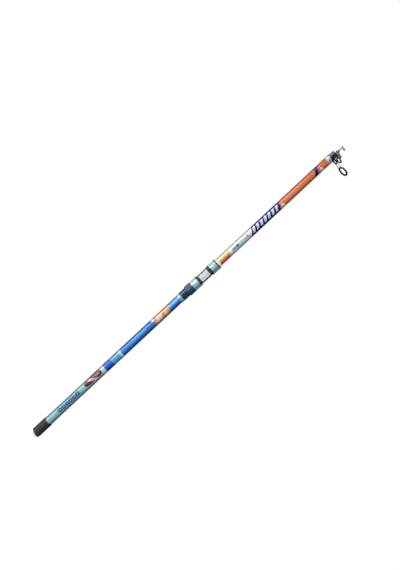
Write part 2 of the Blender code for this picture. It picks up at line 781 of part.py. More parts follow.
def make_tip_top(finishes, group):
    start = TIP_END - TIP_TOP_LENGTH + TIP_TOP_WALL * 3.0
    bore = TIP_SECTION.radius(start) + GAP
    outside = bore + TIP_TOP_WALL
    bore_end = TIP_END + GAP
    end = bore_end + TIP_TOP_WALL
    tube = turned("tip_top_frame", [
        (end, 0.0),
        (end, outside * 0.6),
        (end - TIP_TOP_WALL, outside),
        (start, outside),
        (start, bore),
        (bore_end, bore),
        (bore_end, 0.0),
    ], finishes["tip_grey"], group, steps=24)
    legs = [
        (start + 0.25 * TIP_TOP_LENGTH, None, None),
        (start + 0.45 * TIP_TOP_LENGTH, None, None),
    ]
    frame = guide_frame("tip_top_frame", tube, TIP_RING_X, TIP_RING_HEIGHT, TIP_RING_HOOP, TIP_RING_WIRE,
                        TIP_RING_WIRE, outside, legs, math.radians(60.0), group)
    insert_major = TIP_RING_HOOP - TIP_RING_WIRE - GAP - TIP_RING_INSERT
    insert = torus("tip_top_ring", TIP_RING_X, TIP_RING_HEIGHT, insert_major, TIP_RING_INSERT,
                   finishes["ring_black"], group, major_steps=24)
    return [frame, insert]


def make_tip_tube(finishes, group):
    """The tip section: hollow up to where its thin end is solid."""
    bore_end = TIP_END - SOLID_TIP_LENGTH
    cone = 3.0 * TIP_SECTION.bore(bore_end)
    outside = [(x, radius) for x, radius in reversed(TIP_SECTION.outside)]
    wedge_x, wedge_radius = TIP_SECTION.outside[1]
    profile = [(TIP_END, 0.0)] + outside
    profile += [
        (INNER_START, TIP_SECTION.bore(INNER_START)),
        (wedge_x, wedge_radius - TIP_WALL),
        (bore_end, TIP_SECTION.bore(bore_end)),
        (bore_end + cone, 0.0),
    ]
    return turned("tip_section_tube", profile, finishes["dark_blank"], group)


def main():
    clear_scene()
    group = new_collection("surf_rod")
    cutters = new_collection("cutters")
    finishes = make_finishes()

    handle = frame_of("handle", 0.0, group)
    parts = [make_butt_tube(finishes, group), make_mouth_collar(finishes, group)]
    parts += make_butt_end(finishes, group)
    parts += make_seat_trims(finishes, group)
    parts += make_seat_body(finishes, group, cutters)
    parts += make_fixed_hood(finishes, group)
    carry(handle, parts)

    carry(frame_of("hood_axis", HOOD_START, group), make_moving_hood(finishes, group))
    carry(frame_of("nut_axis", NUT_START, group), [make_lock_nut(finishes, group)])
    carry(frame_of("plug_axis", 0.0, group), [make_butt_plug(finishes, group)])
    carry(frame_of("pad_axis", PAD_START, group), [make_butt_pad(finishes, group)])

    section_2 = [
        make_section("section_2_tube", SECTION_2, finishes, group),
        make_end_ring("section_2_end_ring", SECTION_2, SECTION_2_END, BARREL_1_RADIUS, finishes, group),
    ]
    carry(frame_of("section_2_axis", MOUTH_X, group), section_2 + make_guide_1(finishes, group))
    section_3 = [
        make_section("section_3_tube", SECTION_3, finishes, group),
        make_end_ring("section_3_end_ring", SECTION_3, SECTION_3_END, BARREL_2_RADIUS, finishes, group),
    ]
    carry(frame_of("section_3_axis", SECTION_2_END, group), section_3 + make_guide_2(finishes, group))
    tip = [make_tip_tube(finishes, group)] + make_tip_top(finishes, group)
    carry(frame_of("tip_axis", SECTION_3_END, group), tip)
    carry(frame_of("float_axis", SECTION_3_END + GAP, group), make_float_guide(finishes, group))


main()
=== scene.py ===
"""Looks of a collapsed telescopic surf rod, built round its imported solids.

Metres. The rod's axis is X with the butt end at X = 0. The reel seat's bay
faces +Z, and the line guides stand out in -Y.
"""

import json
from math import atan2, cos, hypot, pi, radians, sin

import bpy
from bpy.props import FloatProperty, FloatVectorProperty, IntProperty, PointerProperty
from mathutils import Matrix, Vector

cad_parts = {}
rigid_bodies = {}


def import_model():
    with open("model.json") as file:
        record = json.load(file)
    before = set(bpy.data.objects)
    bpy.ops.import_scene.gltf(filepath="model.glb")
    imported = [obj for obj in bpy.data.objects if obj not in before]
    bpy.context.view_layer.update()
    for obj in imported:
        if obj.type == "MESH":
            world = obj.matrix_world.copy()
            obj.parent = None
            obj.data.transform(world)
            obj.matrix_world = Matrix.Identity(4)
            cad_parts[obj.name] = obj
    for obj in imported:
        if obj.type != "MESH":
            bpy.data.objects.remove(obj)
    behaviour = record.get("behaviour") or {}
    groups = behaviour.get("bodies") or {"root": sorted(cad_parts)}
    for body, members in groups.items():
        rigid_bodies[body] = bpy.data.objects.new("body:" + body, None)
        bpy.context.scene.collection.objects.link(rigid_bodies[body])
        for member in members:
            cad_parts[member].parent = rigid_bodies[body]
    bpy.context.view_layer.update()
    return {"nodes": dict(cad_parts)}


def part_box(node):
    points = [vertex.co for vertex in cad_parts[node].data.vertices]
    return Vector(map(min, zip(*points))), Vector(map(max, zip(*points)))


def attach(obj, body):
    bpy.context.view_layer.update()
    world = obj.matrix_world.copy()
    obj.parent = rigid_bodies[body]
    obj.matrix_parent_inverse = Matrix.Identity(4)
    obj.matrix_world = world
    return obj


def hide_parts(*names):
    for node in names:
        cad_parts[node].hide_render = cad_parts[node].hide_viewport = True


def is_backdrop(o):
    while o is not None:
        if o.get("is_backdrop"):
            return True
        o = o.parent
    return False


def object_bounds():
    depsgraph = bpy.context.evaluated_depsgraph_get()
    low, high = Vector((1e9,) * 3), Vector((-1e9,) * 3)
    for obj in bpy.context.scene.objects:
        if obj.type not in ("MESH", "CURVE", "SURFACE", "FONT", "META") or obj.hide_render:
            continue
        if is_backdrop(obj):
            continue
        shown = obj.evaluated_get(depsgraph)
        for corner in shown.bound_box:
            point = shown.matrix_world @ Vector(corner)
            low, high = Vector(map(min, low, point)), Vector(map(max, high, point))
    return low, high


bl_info = {
    "name": "Surf rod looks",
    "version": (1, 0, 0),
    "blender": (4, 5, 0),
    "location": "3D View > Sidebar > Surf rod",
    "description": "Builds the detailed pieces and finishes of a telescopic surf rod",
    "category": "Object",
}

for leftover in list(bpy.data.objects):
    bpy.data.objects.remove(leftover)
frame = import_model()

ORIGIN = (0.0, 0.0, 0.0)
ACROSS_ROD = (0.0, pi / 2.0, 0.0)  # turns a flat circle so that it stands across the rod
TURN_STEPS = 96  # faces round a turned piece
HOOD_STEPS = 160  # faces round a hood
MERGE_REACH = 0.000002  # points closer than this become one
SHARP_EDGE = radians(28.0)  # edges sharper than this are rounded off
FIT_GAP = 0.0003  # clear gap between pieces that fit in one another
FLOOR_GAP = 0.00002
EDGE_SHARPNESS = 6000.0  # a printed edge fades over one part in this many of a metre


def length(name, description, default, low=0.0, high=2.0):
    return FloatProperty(name=name, description=description, default=default, min=low, max=high,
                         precision=5, subtype="DISTANCE", unit="LENGTH")


def number(name, description, default, low=0.0, high=1000.0):
    return FloatProperty(name=name, description=description, default=default, min=low, max=high)


def tilt(name, description, degrees):
    return FloatProperty(name=name, description=description, default=radians(degrees), subtype="ANGLE")


def colour(name, description, *levels):
    """A colour given as red, green and blue from 0 to 255."""
    return FloatVectorProperty(name=name, description=description, size=3, subtype="COLOR_GAMMA",
                               default=tuple(level / 255.0 for level in levels), min=0.0, max=1.0)


class RodSeatSizes(bpy.types.PropertyGroup):
    """Detail of the reel seat, its nut and hoods."""

    thread_pitch: length("Thread pitch", "Distance from one thread to the next", 0.0025)
    thread_width: length("Thread width", "Width of one thread at its root", 0.0017)
    thread_height: length("Thread height", "How far the thread stands out of the barrel", 0.0006)
    barrel_radius: length("Barrel radius", "Radius of the seat's barrel at the thread's root", 0.0135)
    nut_flutes: IntProperty(
        name="Nut flutes", description="Finger grooves round the nut", default=14, min=6, max=40)
    nut_flute_depth: length("Flute depth", "Depth of the nut's finger grooves", 0.0011)
    nut_band: length("Nut band", "Length of the nut's plain band", 0.0036)
    hood_lip: length("Hood lip", "Length of the bare lip at a hood's mouth", 0.0044)
    hood_wall: length("Hood wall", "Wall of a moulded hood under its cover", 0.0008)
    cover_wall: length("Cover wall", "Thickness of a hood's steel cover", 0.0005)
    arch_half_width: length("Arch half width", "Half the clear width of a hood's arch", 0.0090)
    arch_clear: length("Arch height", "Clear height of a hood's arch over the saddle", 0.0046)
    arch_slope: number("Arch slope", "Share of the hood over which its arch rises", 0.45, 0.1, 0.9)
    saddle_half_width: length("Saddle half width", "Half the width of the foot's saddle", 0.0076)
    saddle_reach: length("Saddle reach", "How far the saddle goes under each hood", 0.0110)
    saddle_top: length("Saddle top", "Height of the saddle over the rod's axis", 0.0146)
    platform_border: length("Platform border", "Rim left round the foot plate", 0.0012)


class RingSizes:
    """One guide's ring insert and hoop, measured on its six-sided solids."""

    def __init__(self, ring_node, frame_node):
        low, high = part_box(ring_node)
        outer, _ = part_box(frame_node)
        self.x = (low.x + high.x) / 2.0
        self.height = -(low.y + high.y) / 2.0
        self.insert = (high.x - low.x) / (2.0 * cos(radians(30.0)))
        self.insert_reach = (high.z - low.z) / 2.0
        reach = -outer.y - self.height
        self.rim = (reach - self.insert_reach - FIT_GAP) / 2.0
        self.hoop = reach - self.rim

    def leg_end(self, angle):
        """Where a leg meets the hoop: place along the rod, height, and distance to the side."""
        return self.x, self.height - self.hoop * cos(angle), self.hoop * sin(angle)


RING_1 = RingSizes("guide_1_ring", "guide_1_frame")
RING_2 = RingSizes("guide_2_ring", "guide_2_frame")
RING_3 = RingSizes("float_guide_ring", "float_guide_frame")
TIP_RING = RingSizes("tip_top_ring", "tip_top_frame")


class RodGuideSizes(bpy.types.PropertyGroup):
    """Wires of the line guides."""

    leg_1: length("Guide 1 leg", "Radius of the first guide's legs", 0.0011)
    leg_2: length("Guide 2 leg", "Radius of the second guide's legs", 0.0009)
    leg_3: length("Floating guide leg", "Radius of the floating guide's legs", 0.0007)
    tip_leg: length("Tip leg", "Radius of the tip top's legs", 0.00055)
    brace_x: length("Brace place", "Place along the rod of the first guide's brace", 1.1532)
    brace_height: length("Brace height", "Height of the brace's centre", 0.0173)
    brace_radius: length("Brace radius", "Radius of the first guide's brace", 0.0072)
    brace_wire: length("Brace wire", "Radius of the brace's wire", 0.0012)
    swell: length("Swell", "How much a hoop's enamel thickens its wire", 0.00025)
    band_width: number("Band width", "Width of a hoop's band against its thickness", 2.0, 1.0, 3.0)
    leg_spread: tilt("Leg spread", "How far round the barrel the legs' feet stand", 65.0)
    bare_height: length("Bare height", "Height at which legs turn from black to bare", 0.0240)


class RodPrintColours(bpy.types.PropertyGroup):
    """Colours printed on the butt section, from the butt to the mouth, with the painted shade and highlight
    colours of its sides.
    """

    silver_cyan: colour("Silver cyan", "Butt end of the print", 150, 204, 212)
    # Painted shade on the butt end's low side, towards the guides
    cyan_painted_shade: colour("Deep cyan", "Low side of the butt end", 112, 160, 168)
    haze: colour("Haze", "Bluish patch under the hollow boxes", 124, 168, 200)
    steel_blue: colour("Steel blue", "Row of hollow boxes at the butt", 34, 82, 140)
    maroon: colour("Maroon", "Outline of the rounded mark", 80, 8, 36)
    crimson: colour("Crimson", "Rounded mark behind the blue", 156, 24, 58)
    rose: colour("Rose", "Pale slash across the rounded mark", 226, 196, 208)
    pale_band: colour("Pale band", "Light band before the blue", 196, 226, 234)
    royal: colour("Royal blue", "First blue band", 40, 104, 218)
    cyan: colour("Cyan", "Hatched band", 102, 190, 228)
    ice: colour("Ice", "Thin pale line after the hatched band", 180, 230, 246)
    blue: colour("Blue", "Long blue stretch up to the reel seat", 56, 128, 216)
    # Painted shade on the blue's low side, towards the guides
    blue_painted_shade: colour("Deep blue", "Low side of the blue stretch", 28, 62, 158)
    # Printed marks on the blue stretch, and the painted highlight on the blue past the patch
    light_blue_print_and_highlight: colour("Light blue", "Small marks on the blue stretch", 110, 196, 250)
    peach: colour("Peach", "Slanted patch behind the seat", 232, 170, 108)
    # Painted shade on the patch's low side, and the ink of the small ticks on the patch
    tan: colour("Tan", "Low side of the slanted patch", 170, 96, 62)
    blush: colour("Blush", "Blocks on the slanted patch", 244, 222, 212)
    # Painted highlight on the orange's side towards the strip lamp
    cream_painted_highlight: colour("Cream", "High side of the orange in front of the seat", 252, 240, 200)
    yellow: colour("Yellow", "Upper half of the orange in front of the seat", 252, 212, 138)
    amber: colour("Amber", "Lower half of the orange in front of the seat", 248, 144, 78)
    # Painted shade on the orange's low side, towards the guides
    red_orange_painted_shade: colour("Rust", "Low side of the orange in front of the seat", 232, 84, 42)
    orange: colour("Orange", "High side of the long orange stretch to the mouth", 228, 106, 58)
    # Painted light: the long orange made lighter on its low side, where the lamps leave it darker
    orange_painted_fill: colour("Low orange", "Low side of the long orange stretch", 255, 134, 84)
    salmon: colour("Salmon", "Small marks on the long orange stretch", 244, 164, 134)
    white: colour("White", "Pale stretch and triangles", 248, 250, 250)
    # Painted shade on the white stretch's low side, towards the guides
    white_painted_shade: colour("Dull white", "Low side of the pale stretch", 214, 220, 224)
    mist: colour("Mist", "Pointed band on the white stretch", 190, 230, 238)
    grey_mark: colour("Grey marks", "Ticks and lozenge on the white stretch", 66, 96, 110)
    navy: colour("Navy", "Stretch with the slanted bars", 20, 22, 124)
    # Painted shade on the navy's low side, towards the guides
    navy_painted_shade: colour("Deep navy", "Low side of the navy", 16, 12, 84)
    bar_white: colour("Bar white", "Slanted bars on the navy", 214, 230, 250)
    silver: colour("Silver", "Narrow band at the mouth", 222, 236, 236)


class RodFinishColours(bpy.types.PropertyGroup):
    """Plain finishes of the other pieces."""

    blank: colour("Bare blank", "Lacquered carbon of the inner sections", 26, 30, 36)
    seat: colour("Seat", "Moulded reel seat, nut and lips", 22, 64, 88)
    hood: colour("Hood steel", "Bright covers of the hoods", 208, 244, 250)
    plate: colour("Foot plate", "Plate under the reel's foot", 244, 253, 254)
    trim: colour("Trim", "Ring behind the seat", 168, 200, 214)
    front_trim: colour("Front trim", "White cone in front of the fixed hood", 255, 255, 250)
    collar: colour("Collar", "Turned collar, bush, plug and end rings", 212, 228, 228)
    guide: colour("Guide black", "Glossy barrels of the guides", 4, 34, 50)
    hoop: colour("Hoop black", "Hoops and black wires of the guides", 9, 12, 14)
    leg: colour("Guide legs", "Bare bright wire of the legs", 196, 204, 206)
    ring: colour("Ring insert", "Polished inserts of the guides", 10, 12, 14)
    tip: colour("Tip grey", "Tube and wire of the tip top", 168, 172, 172)
    rubber: colour("Rubber", "Butt sleeve and pad", 34, 37, 40)


class RodStageSizes(bpy.types.PropertyGroup):
    """Camera, lamps and floor of the picture."""

    camera_height: length("Camera height", "Height of the camera over the rod's axis", 1.30, 0.1, 5.0)
    camera_place: length("Camera place", "Place along the rod under the camera", 0.5399)
    aim_place: length("Aim place", "Place along the rod that the camera looks at", 0.6173)
    aim_side: length("Aim side", "How far the camera stands to the guides' side", 0.0109)
    rod_angle: tilt("Rod angle", "Slope of the rod across the picture", 43.015)
    lens: number("Lens", "Focal length in mm", 28.79, 10.0, 200.0)
    key_strength: number("Key lamp", "Strength of the lamp overhead", 2.35)
    key_tilt: tilt("Key lamp tilt", "The key lamp's tilt from straight above", 20.0)
    strip_power: number("Strip lamp", "Power of the long lamp beside the rod", 42.0)
    strip_tilt: tilt("Strip lamp tilt", "The strip lamp's direction from straight above", 58.0)
    strip_distance: length("Strip lamp distance", "From the strip lamp to the rod", 1.5, 0.2, 5.0)
    fill: number("Fill", "Level of the room's soft light", 0.27)
    floor_size: length("Floor size", "Side of the square floor", 14.0, 1.0, 50.0)


def linear(value):
    """The shader's colour for one picked on the screen's scale."""
    shades = [c / 12.92 if c <= 0.04045 else ((c + 0.055) / 1.055) ** 2.4 for c in value]
    return (*shades, 1.0)


def grey(level):
    return (level, level, level, 1.0)


def scaled(shade, factor, lift=0.0):
    """A shader's colour made lighter or darker."""
    return (*[min(1.0, c * factor + lift) for c in shade[:3]], 1.0)


def span(node):
    """Start, end and largest radius of a turned solid."""
    low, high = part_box(node)
    return low.x, high.x, high.z


def turned_rings(node):
    """The places along the rod where a turned solid has rings, each with its radii."""
    rings = {}
    for vertex in frame["nodes"][node].data.vertices:
        radius = round(hypot(vertex.co.y, vertex.co.z), 5)
        rings.setdefault(round(vertex.co.x, 5), set()).add(radius)
    return {x: sorted(radii) for x, radii in sorted(rings.items())}


def ring_sizes(node, bore_at_end=False):
    """Start, end, outside and bore of a ring, its bore measured at one of its ends."""
    start, end, outside = span(node)
    return start, end, outside, turned_rings(node)[round(end if bore_at_end else start, 5)][0]


def near_radii(node, x):
    """Smallest and largest radius of a solid right at a place along the rod."""
    radii = [hypot(v.co.y, v.co.z) for v in frame["nodes"][node].data.vertices if abs(v.co.x - x) < 0.0001]
    return min(radii), max(radii)


def spread(first, last, count):
    return [first + (last - first) * (i / count) for i in range(count + 1)]


def deselect_all():
    if bpy.context.object is not None and bpy.context.object.mode != "OBJECT":
        bpy.ops.object.mode_set(mode="OBJECT")
    bpy.ops.object.select_all(action="DESELECT")


def make_active(piece):
    deselect_all()
    piece.select_set(True)
    bpy.context.view_layer.objects.active = piece


def rename(piece, name):
    piece.name = name
    piece.data.name = name
    return piece


def edit_new(name):
    """Name the primitive just added and edit its points."""
    piece = rename(bpy.context.object, name)
    bpy.ops.object.mode_set(mode="EDIT")
    bpy.ops.mesh.select_mode(type="VERT")
    return piece


def select_vertices(piece, test):
    """From edit mode, select the vertices whose place passes the test."""
    bpy.ops.mesh.select_all(action="DESELECT")
    bpy.ops.mesh.select_mode(type="VERT")
    bpy.ops.object.mode_set(mode="OBJECT")
    for vertex in piece.data.vertices:
        vertex.select = test(vertex.co)
    bpy.ops.object.mode_set(mode="EDIT")


def merge_all():
    """In edit mode, merge doubles and turn the faces outwards."""
    bpy.ops.mesh.select_all(action="SELECT")
    bpy.ops.mesh.remove_doubles(threshold=MERGE_REACH)
    bpy.ops.mesh.normals_make_consistent(inside=False)


def close_up(piece, smooth_angle=40.0):
    """Leave edit mode with merged, outward faces and smooth shading."""
    merge_all()
    bpy.ops.object.mode_set(mode="OBJECT")
    bpy.ops.object.shade_smooth_by_angle(angle=radians(smooth_angle))
    return piece


def draw_profile(name, profile, shift=0.0):
    """In edit mode, a chain of points given as (x, radius), drawn on the rod's upper side."""
    deselect_all()
    bpy.ops.mesh.primitive_plane_add(size=0.002, location=ORIGIN)
    piece = edit_new(name)
    bpy.ops.mesh.merge(type="CENTER")
    bpy.ops.transform.translate(value=(shift + profile[0][0], 0.0, profile[0][1]))
    for (x0, r0), (x1, r1) in zip(profile, profile[1:]):
        bpy.ops.mesh.extrude_vertices_move(TRANSFORM_OT_translate={"value": (x1 - x0, 0.0, r1 - r0)})
    return piece


def turn(name, profile, steps=TURN_STEPS, soften=0.0, soften_steps=3, smooth_angle=40.0):
    """Spin a profile of (x, radius) points about the rod's axis and soften its sharp edges.

    A profile that doesn't run from the axis to the axis is closed first.
    """
    piece = draw_profile(name, profile)
    ends = profile[0], profile[-1]
    if max(radius for _, radius in ends) > 0.0:
        select_vertices(piece, lambda co: min(hypot(co.x - x, co.z - r) for x, r in ends) < 0.000001)
        bpy.ops.mesh.edge_face_add()
    bpy.ops.mesh.select_all(action="SELECT")
    bpy.ops.mesh.spin(steps=steps, angle=2.0 * pi, center=ORIGIN, axis=(1.0, 0.0, 0.0))
    merge_all()
    if soften > 0.0:
        bpy.ops.mesh.select_mode(type="EDGE")
        bpy.ops.mesh.select_all(action="DESELECT")
        bpy.ops.mesh.edges_select_sharp(sharpness=SHARP_EDGE)
        bpy.ops.mesh.bevel(offset=soften, segments=soften_steps, affect="EDGES")
    return close_up(piece, smooth_angle)


def circle_stack(name, steps, count, upright=False):
    """In edit mode, a pipe of circles 1 m apart, along the rod or, when upright, along Z."""
    deselect_all()
    bpy.ops.mesh.primitive_circle_add(
        vertices=steps, radius=1.0, location=ORIGIN, rotation=ORIGIN if upright else ACROSS_ROD)
    bpy.ops.object.transform_apply(location=True, rotation=True, scale=True)
    piece = edit_new(name)
    bpy.ops.mesh.select_all(action="SELECT")
    step = (0.0, 0.0, 1.0) if upright else (1.0, 0.0, 0.0)
    for _ in range(count - 1):
        bpy.ops.mesh.extrude_region_move(TRANSFORM_OT_translate={"value": step})
    return piece


def cap_ends(piece, axis, last):
    """Close the first and the last circle of a stack along an axis."""
    for end in (0.0, last):
        select_vertices(piece, lambda co: abs(co[axis] - end) < 0.5)
        bpy.ops.mesh.edge_face_add()


def reshape(piece, place, smooth_angle):
    """Move each vertex to the place given for its own, and finish the piece."""
    bpy.ops.object.mode_set(mode="OBJECT")
    for vertex in piece.data.vertices:
        vertex.co = place(vertex.co)
    bpy.ops.object.mode_set(mode="EDIT")
    return close_up(piece, smooth_angle)


def loft(name, rings, steps, closed=True, smooth_angle=35.0):
    """Set circles along the rod, each on its own outline.

    rings holds (x, outline) pairs. An outline is a radius, or a function that
    gives the radius at an angle from +Z towards -Y. A closed loft's last ring
    joins its first one.
    """
    piece = circle_stack(name, steps, len(rings))
    last = float(len(rings) - 1)
    if closed:
        select_vertices(piece, lambda co: co.x < 0.5 or co.x > last - 0.5)
        bpy.ops.mesh.bridge_edge_loops()
    else:
        cap_ends(piece, 0, last)

    def place(co):
        x, outline = rings[round(co.x)]
        angle = atan2(-co.y, co.z)
        reach = outline(angle) if callable(outline) else outline
        return x, -reach * sin(angle), reach * cos(angle)

    return reshape(piece, place, smooth_angle)


def slab(name, start, end, half_width, corner, layers, steps=64, smooth_angle=25.0):
    """A flat block with round upright corners, extruded layer by layer.

    layers holds (height, inset) pairs, where inset draws the outline in.
    """
    piece = circle_stack(name, steps, len(layers), upright=True)
    cap_ends(piece, 2, float(len(layers) - 1))
    middle = (start + end) / 2.0
    quarter = steps // 4

    def place(co):
        height, inset = layers[round(co.z)]
        side, along = divmod(round(atan2(co.y, co.x) / (2.0 * pi) * steps) % steps, quarter)
        angle = (side + along / (quarter - 1.0)) * pi / 2.0
        arc = max(corner - inset, 0.0001)
        right = 1.0 if side in (0, 3) else -1.0
        far = 1.0 if side in (0, 1) else -1.0
        return (middle + right * ((end - start) / 2.0 - inset - arc) + arc * cos(angle),
                far * (half_width - inset - arc) + arc * sin(angle), height)

    return reshape(piece, place, smooth_angle)


def soft_top(bottom, top, edge):
    """Layers of a slab whose upper edge is rounded off."""
    return [(bottom, 0.0), (top - edge, 0.0), (top - edge * 0.62, edge * 0.08),
            (top - edge * 0.29, edge * 0.29), (top - edge * 0.08, edge * 0.62), (top, edge)]


def hoop(name, x, height, major, minor, major_steps=96, minor_steps=20, width=1.0):
    """A ring across the rod, standing out in -Y, its wire widened along the rod by a factor."""
    deselect_all()
    bpy.ops.mesh.primitive_torus_add(
        major_radius=major, minor_radius=minor, major_segments=major_steps,
        minor_segments=minor_steps, location=(x, -height, 0.0), rotation=ACROSS_ROD)
    piece = rename(bpy.context.object, name)
    piece.scale = (1.0, 1.0, width)
    bpy.ops.object.transform_apply(location=True, rotation=True, scale=True)
    bpy.ops.object.shade_smooth()
    return piece


def bent_wire(name, points, radius, foot_radius):
    """A wire along smooth points, thinned towards its first point."""
    deselect_all()
    bpy.ops.curve.primitive_bezier_curve_add(location=ORIGIN)
    path = bpy.context.object.data
    path.dimensions = "3D"
    path.resolution_u = 14
    path.bevel_depth = radius
    path.bevel_resolution = 5
    path.use_fill_caps = True
    knots = path.splines[0].bezier_points
    knots.add(len(points) - 2)
    for knot, point in zip(knots, points):
        knot.co = point
        knot.handle_left_type = knot.handle_right_type = "AUTO"
        knot.radius = 1.0
    knots[0].radius = foot_radius / radius
    bpy.ops.object.convert(target="MESH")
    wire = rename(bpy.context.object, name)
    bpy.ops.object.mode_set(mode="EDIT")
    return close_up(wire, 50.0)


def join_pieces(first, others):
    make_active(first)
    for item in others:
        item.select_set(True)
    bpy.ops.object.join()
    return bpy.context.object


def apply_step(piece, kind, **settings):
    """Add a modifier with its settings, and apply it."""
    make_active(piece)
    step = piece.modifiers.new("step", kind)
    for name, value in settings.items():
        setattr(step, name, value)
    bpy.ops.object.modifier_apply(modifier=step.name)


def combine(piece, other, operation):
    """Unite a piece with another one, or cut the other one out of it."""
    apply_step(piece, "BOOLEAN", operation=operation, solver="EXACT", object=other)
    bpy.data.objects.remove(other)


def coat(piece, *finishes):
    """Give a piece its materials, by name, in place of those that it has."""
    piece.data.materials.clear()
    for name in finishes:
        piece.data.materials.append(finish(name))


def coat_in_two(piece, first, second, test):
    """Two materials on one piece, the second one where a face's centre passes the test."""
    coat(piece, first, second)
    for face in piece.data.polygons:
        face.material_index = int(test(face.center))


def dress(piece, body, slot, node, *finishes):
    """Give a finished piece its body and its materials, and hide the solid that it stands for. The record
    slot is not used.
    """
    if finishes:
        coat(piece, *finishes)
    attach(piece, body)
    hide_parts(node)


class Graph:
    """Adds and links shader nodes in one tree."""

    def __init__(self, tree):
        self.tree = tree

    def feed(self, socket, value):
        if isinstance(value, bpy.types.NodeSocket):
            self.tree.links.new(value, socket)
        else:
            socket.default_value = value

    def fill(self, node, **inputs):
        """Feed a node's inputs by name, an underscore standing for a space."""
        for name, value in inputs.items():
            self.feed(node.inputs[name.replace("_", " ")], value)
        return node

    def add(self, kind, **inputs):
        return self.fill(self.tree.nodes.new("ShaderNode" + kind), **inputs)

    def group(self, name, **inputs):
        node = self.add("Group")
        node.node_tree = shared_group(name)
        return self.fill(node, **inputs).outputs

    def mix(self, factor, first, second, kind="RGBA"):
        """A colour between two others or, of kind FLOAT, a number between two others."""
        node = self.add("Mix")
        node.data_type = kind
        return self.fill(node, Factor=factor, A=first, B=second).outputs["Result"]

    def math(self, operation, *values, clamp=False):
        node = self.add("Math")
        node.operation = operation
        node.use_clamp = clamp
        for socket, value in zip(node.inputs, values):
            self.feed(socket, value)
        return node.outputs[0]

    def plus(self, first, second):
        return self.math("ADD", first, second)

    def minus(self, first, second):
        return self.math("SUBTRACT", first, second)

    def times(self, first, second):
        return self.math("MULTIPLY", first, second)

    def over(self, first, second):
        return self.math("DIVIDE", first, second)

    def below(self, value, limit):
        return self.math("LESS_THAN", value, limit)

    def larger(self, first, second):
        return self.math("MAXIMUM", first, second)

    def size(self, value):
        return self.math("ABSOLUTE", value)

    def ridges(self, turns):
        """Rounded ridges, one to a turn."""
        return self.size(self.math("SINE", self.times(turns, pi)))

    def parts(self, vector):
        return self.add("SeparateXYZ", Vector=vector).outputs

    def noise(self, vector, scale, detail=3.0, roughness=0.5):
        return self.add("TexNoise", Vector=vector, Scale=scale, Detail=detail,
                        Roughness=roughness).outputs["Fac"]

    def grain(self, vector, scales, detail, roughness=0.5):
        """Noise with a scale of its own along each axis."""
        stretched = self.add("Mapping", Vector=vector, Scale=scales).outputs["Vector"]
        return self.noise(stretched, 1.0, detail, roughness)


def rod_place(graph, given):
    """Place along the rod, height across it, and the way round it from +Z towards -Y."""
    parts = graph.parts(given["Point"])
    angle = graph.math("ARCTAN2", graph.times(parts["Y"], -1.0), parts["Z"])
    return parts["X"], parts["Y"], graph.times(angle, given["Radius"])


def slanted_edge(graph, given):
    """1 beyond a place along the rod that slants with the height across it, 0 before it."""
    shift = graph.times(given["Across"], given["Slant"])
    ahead = graph.minus(graph.minus(given["Along"], given["Place"]), shift)
    return [graph.math("MULTIPLY_ADD", ahead, EDGE_SHARPNESS, 0.5, clamp=True)]


def bar_row(graph, given):
    """A row of slanted bars: how many, how far apart, how much of each pitch is bar, and how high."""
    off = graph.minus(given["Round"], given["Centre"])
    shift = graph.times(off, given["Slant"])
    cells = graph.over(graph.minus(graph.minus(given["Along"], given["Start"]), shift), given["Pitch"])
    inside = graph.times(graph.math("GREATER_THAN", cells, 0.0), graph.below(cells, given["Count"]))
    bar = graph.below(graph.math("FRACT", cells), given["Share"])
    return [graph.times(graph.times(inside, bar), graph.below(graph.size(off), given["Half"]))]


def handling_wear(graph, given):
    """A roughness made patchy by handling."""
    patches = graph.minus(graph.noise(given["Point"], 90.0, 4.0, 0.6), 0.5)
    return [graph.math("ADD", given["Base"], graph.times(patches, given["Spread"]), clamp=True)]


def lathe_rings(graph, given):
    """Fine rings left by a lathe tool, as a height."""
    turns = graph.over(graph.parts(given["Point"])["X"], given["Pitch"])
    wave = graph.math("SINE", graph.times(turns, 2.0 * pi))
    uneven = graph.grain(given["Point"], (5200.0, 60.0, 60.0), 2.0, 0.6)
    return [graph.plus(graph.times(wave, 0.35), uneven)]


# The maker of each shared group, its inputs with their defaults, None for a vector, and its outputs
GROUPS = {
    "rod_place": (rod_place, {"Point": None, "Radius": 0.0125}, ("Along", "Across", "Round")),
    "slanted_edge": (slanted_edge, {"Along": 0.0, "Across": 0.0, "Place": 0.0, "Slant": 0.0}, ("Mask",)),
    "bar_row": (bar_row, {
        "Along": 0.0, "Round": 0.0, "Start": 0.0, "Pitch": 0.01, "Count": 5.0,
        "Share": 0.5, "Slant": 0.0, "Centre": 0.0, "Half": 0.004}, ("Mask",)),
    "handling_wear": (handling_wear, {"Point": None, "Base": 0.3, "Spread": 0.1}, ("Roughness",)),
    "lathe_rings": (lathe_rings, {"Point": None, "Pitch": 0.0003}, ("Height",)),
}


def shared_group(name):
    """A shader node group, built the first time that it is asked for."""
    if name in bpy.data.node_groups:
        return bpy.data.node_groups[name]
    make, inputs, outputs = GROUPS[name]
    tree = bpy.data.node_groups.new(name, "ShaderNodeTree")
    for label, default in inputs.items():
        kind = "NodeSocketVector" if default is None else "NodeSocketFloat"
        socket = tree.interface.new_socket(label, in_out="INPUT", socket_type=kind)
        if default is not None:
            socket.default_value = default
    for label in outputs:
        tree.interface.new_socket(label, in_out="OUTPUT", socket_type="NodeSocketFloat")
    graph = Graph(tree)
    given = tree.nodes.new("NodeGroupInput").outputs
    put = tree.nodes.new("NodeGroupOutput").inputs
    for label, value in zip(outputs, make(graph, given)):
        graph.feed(put[label], value)
    return tree


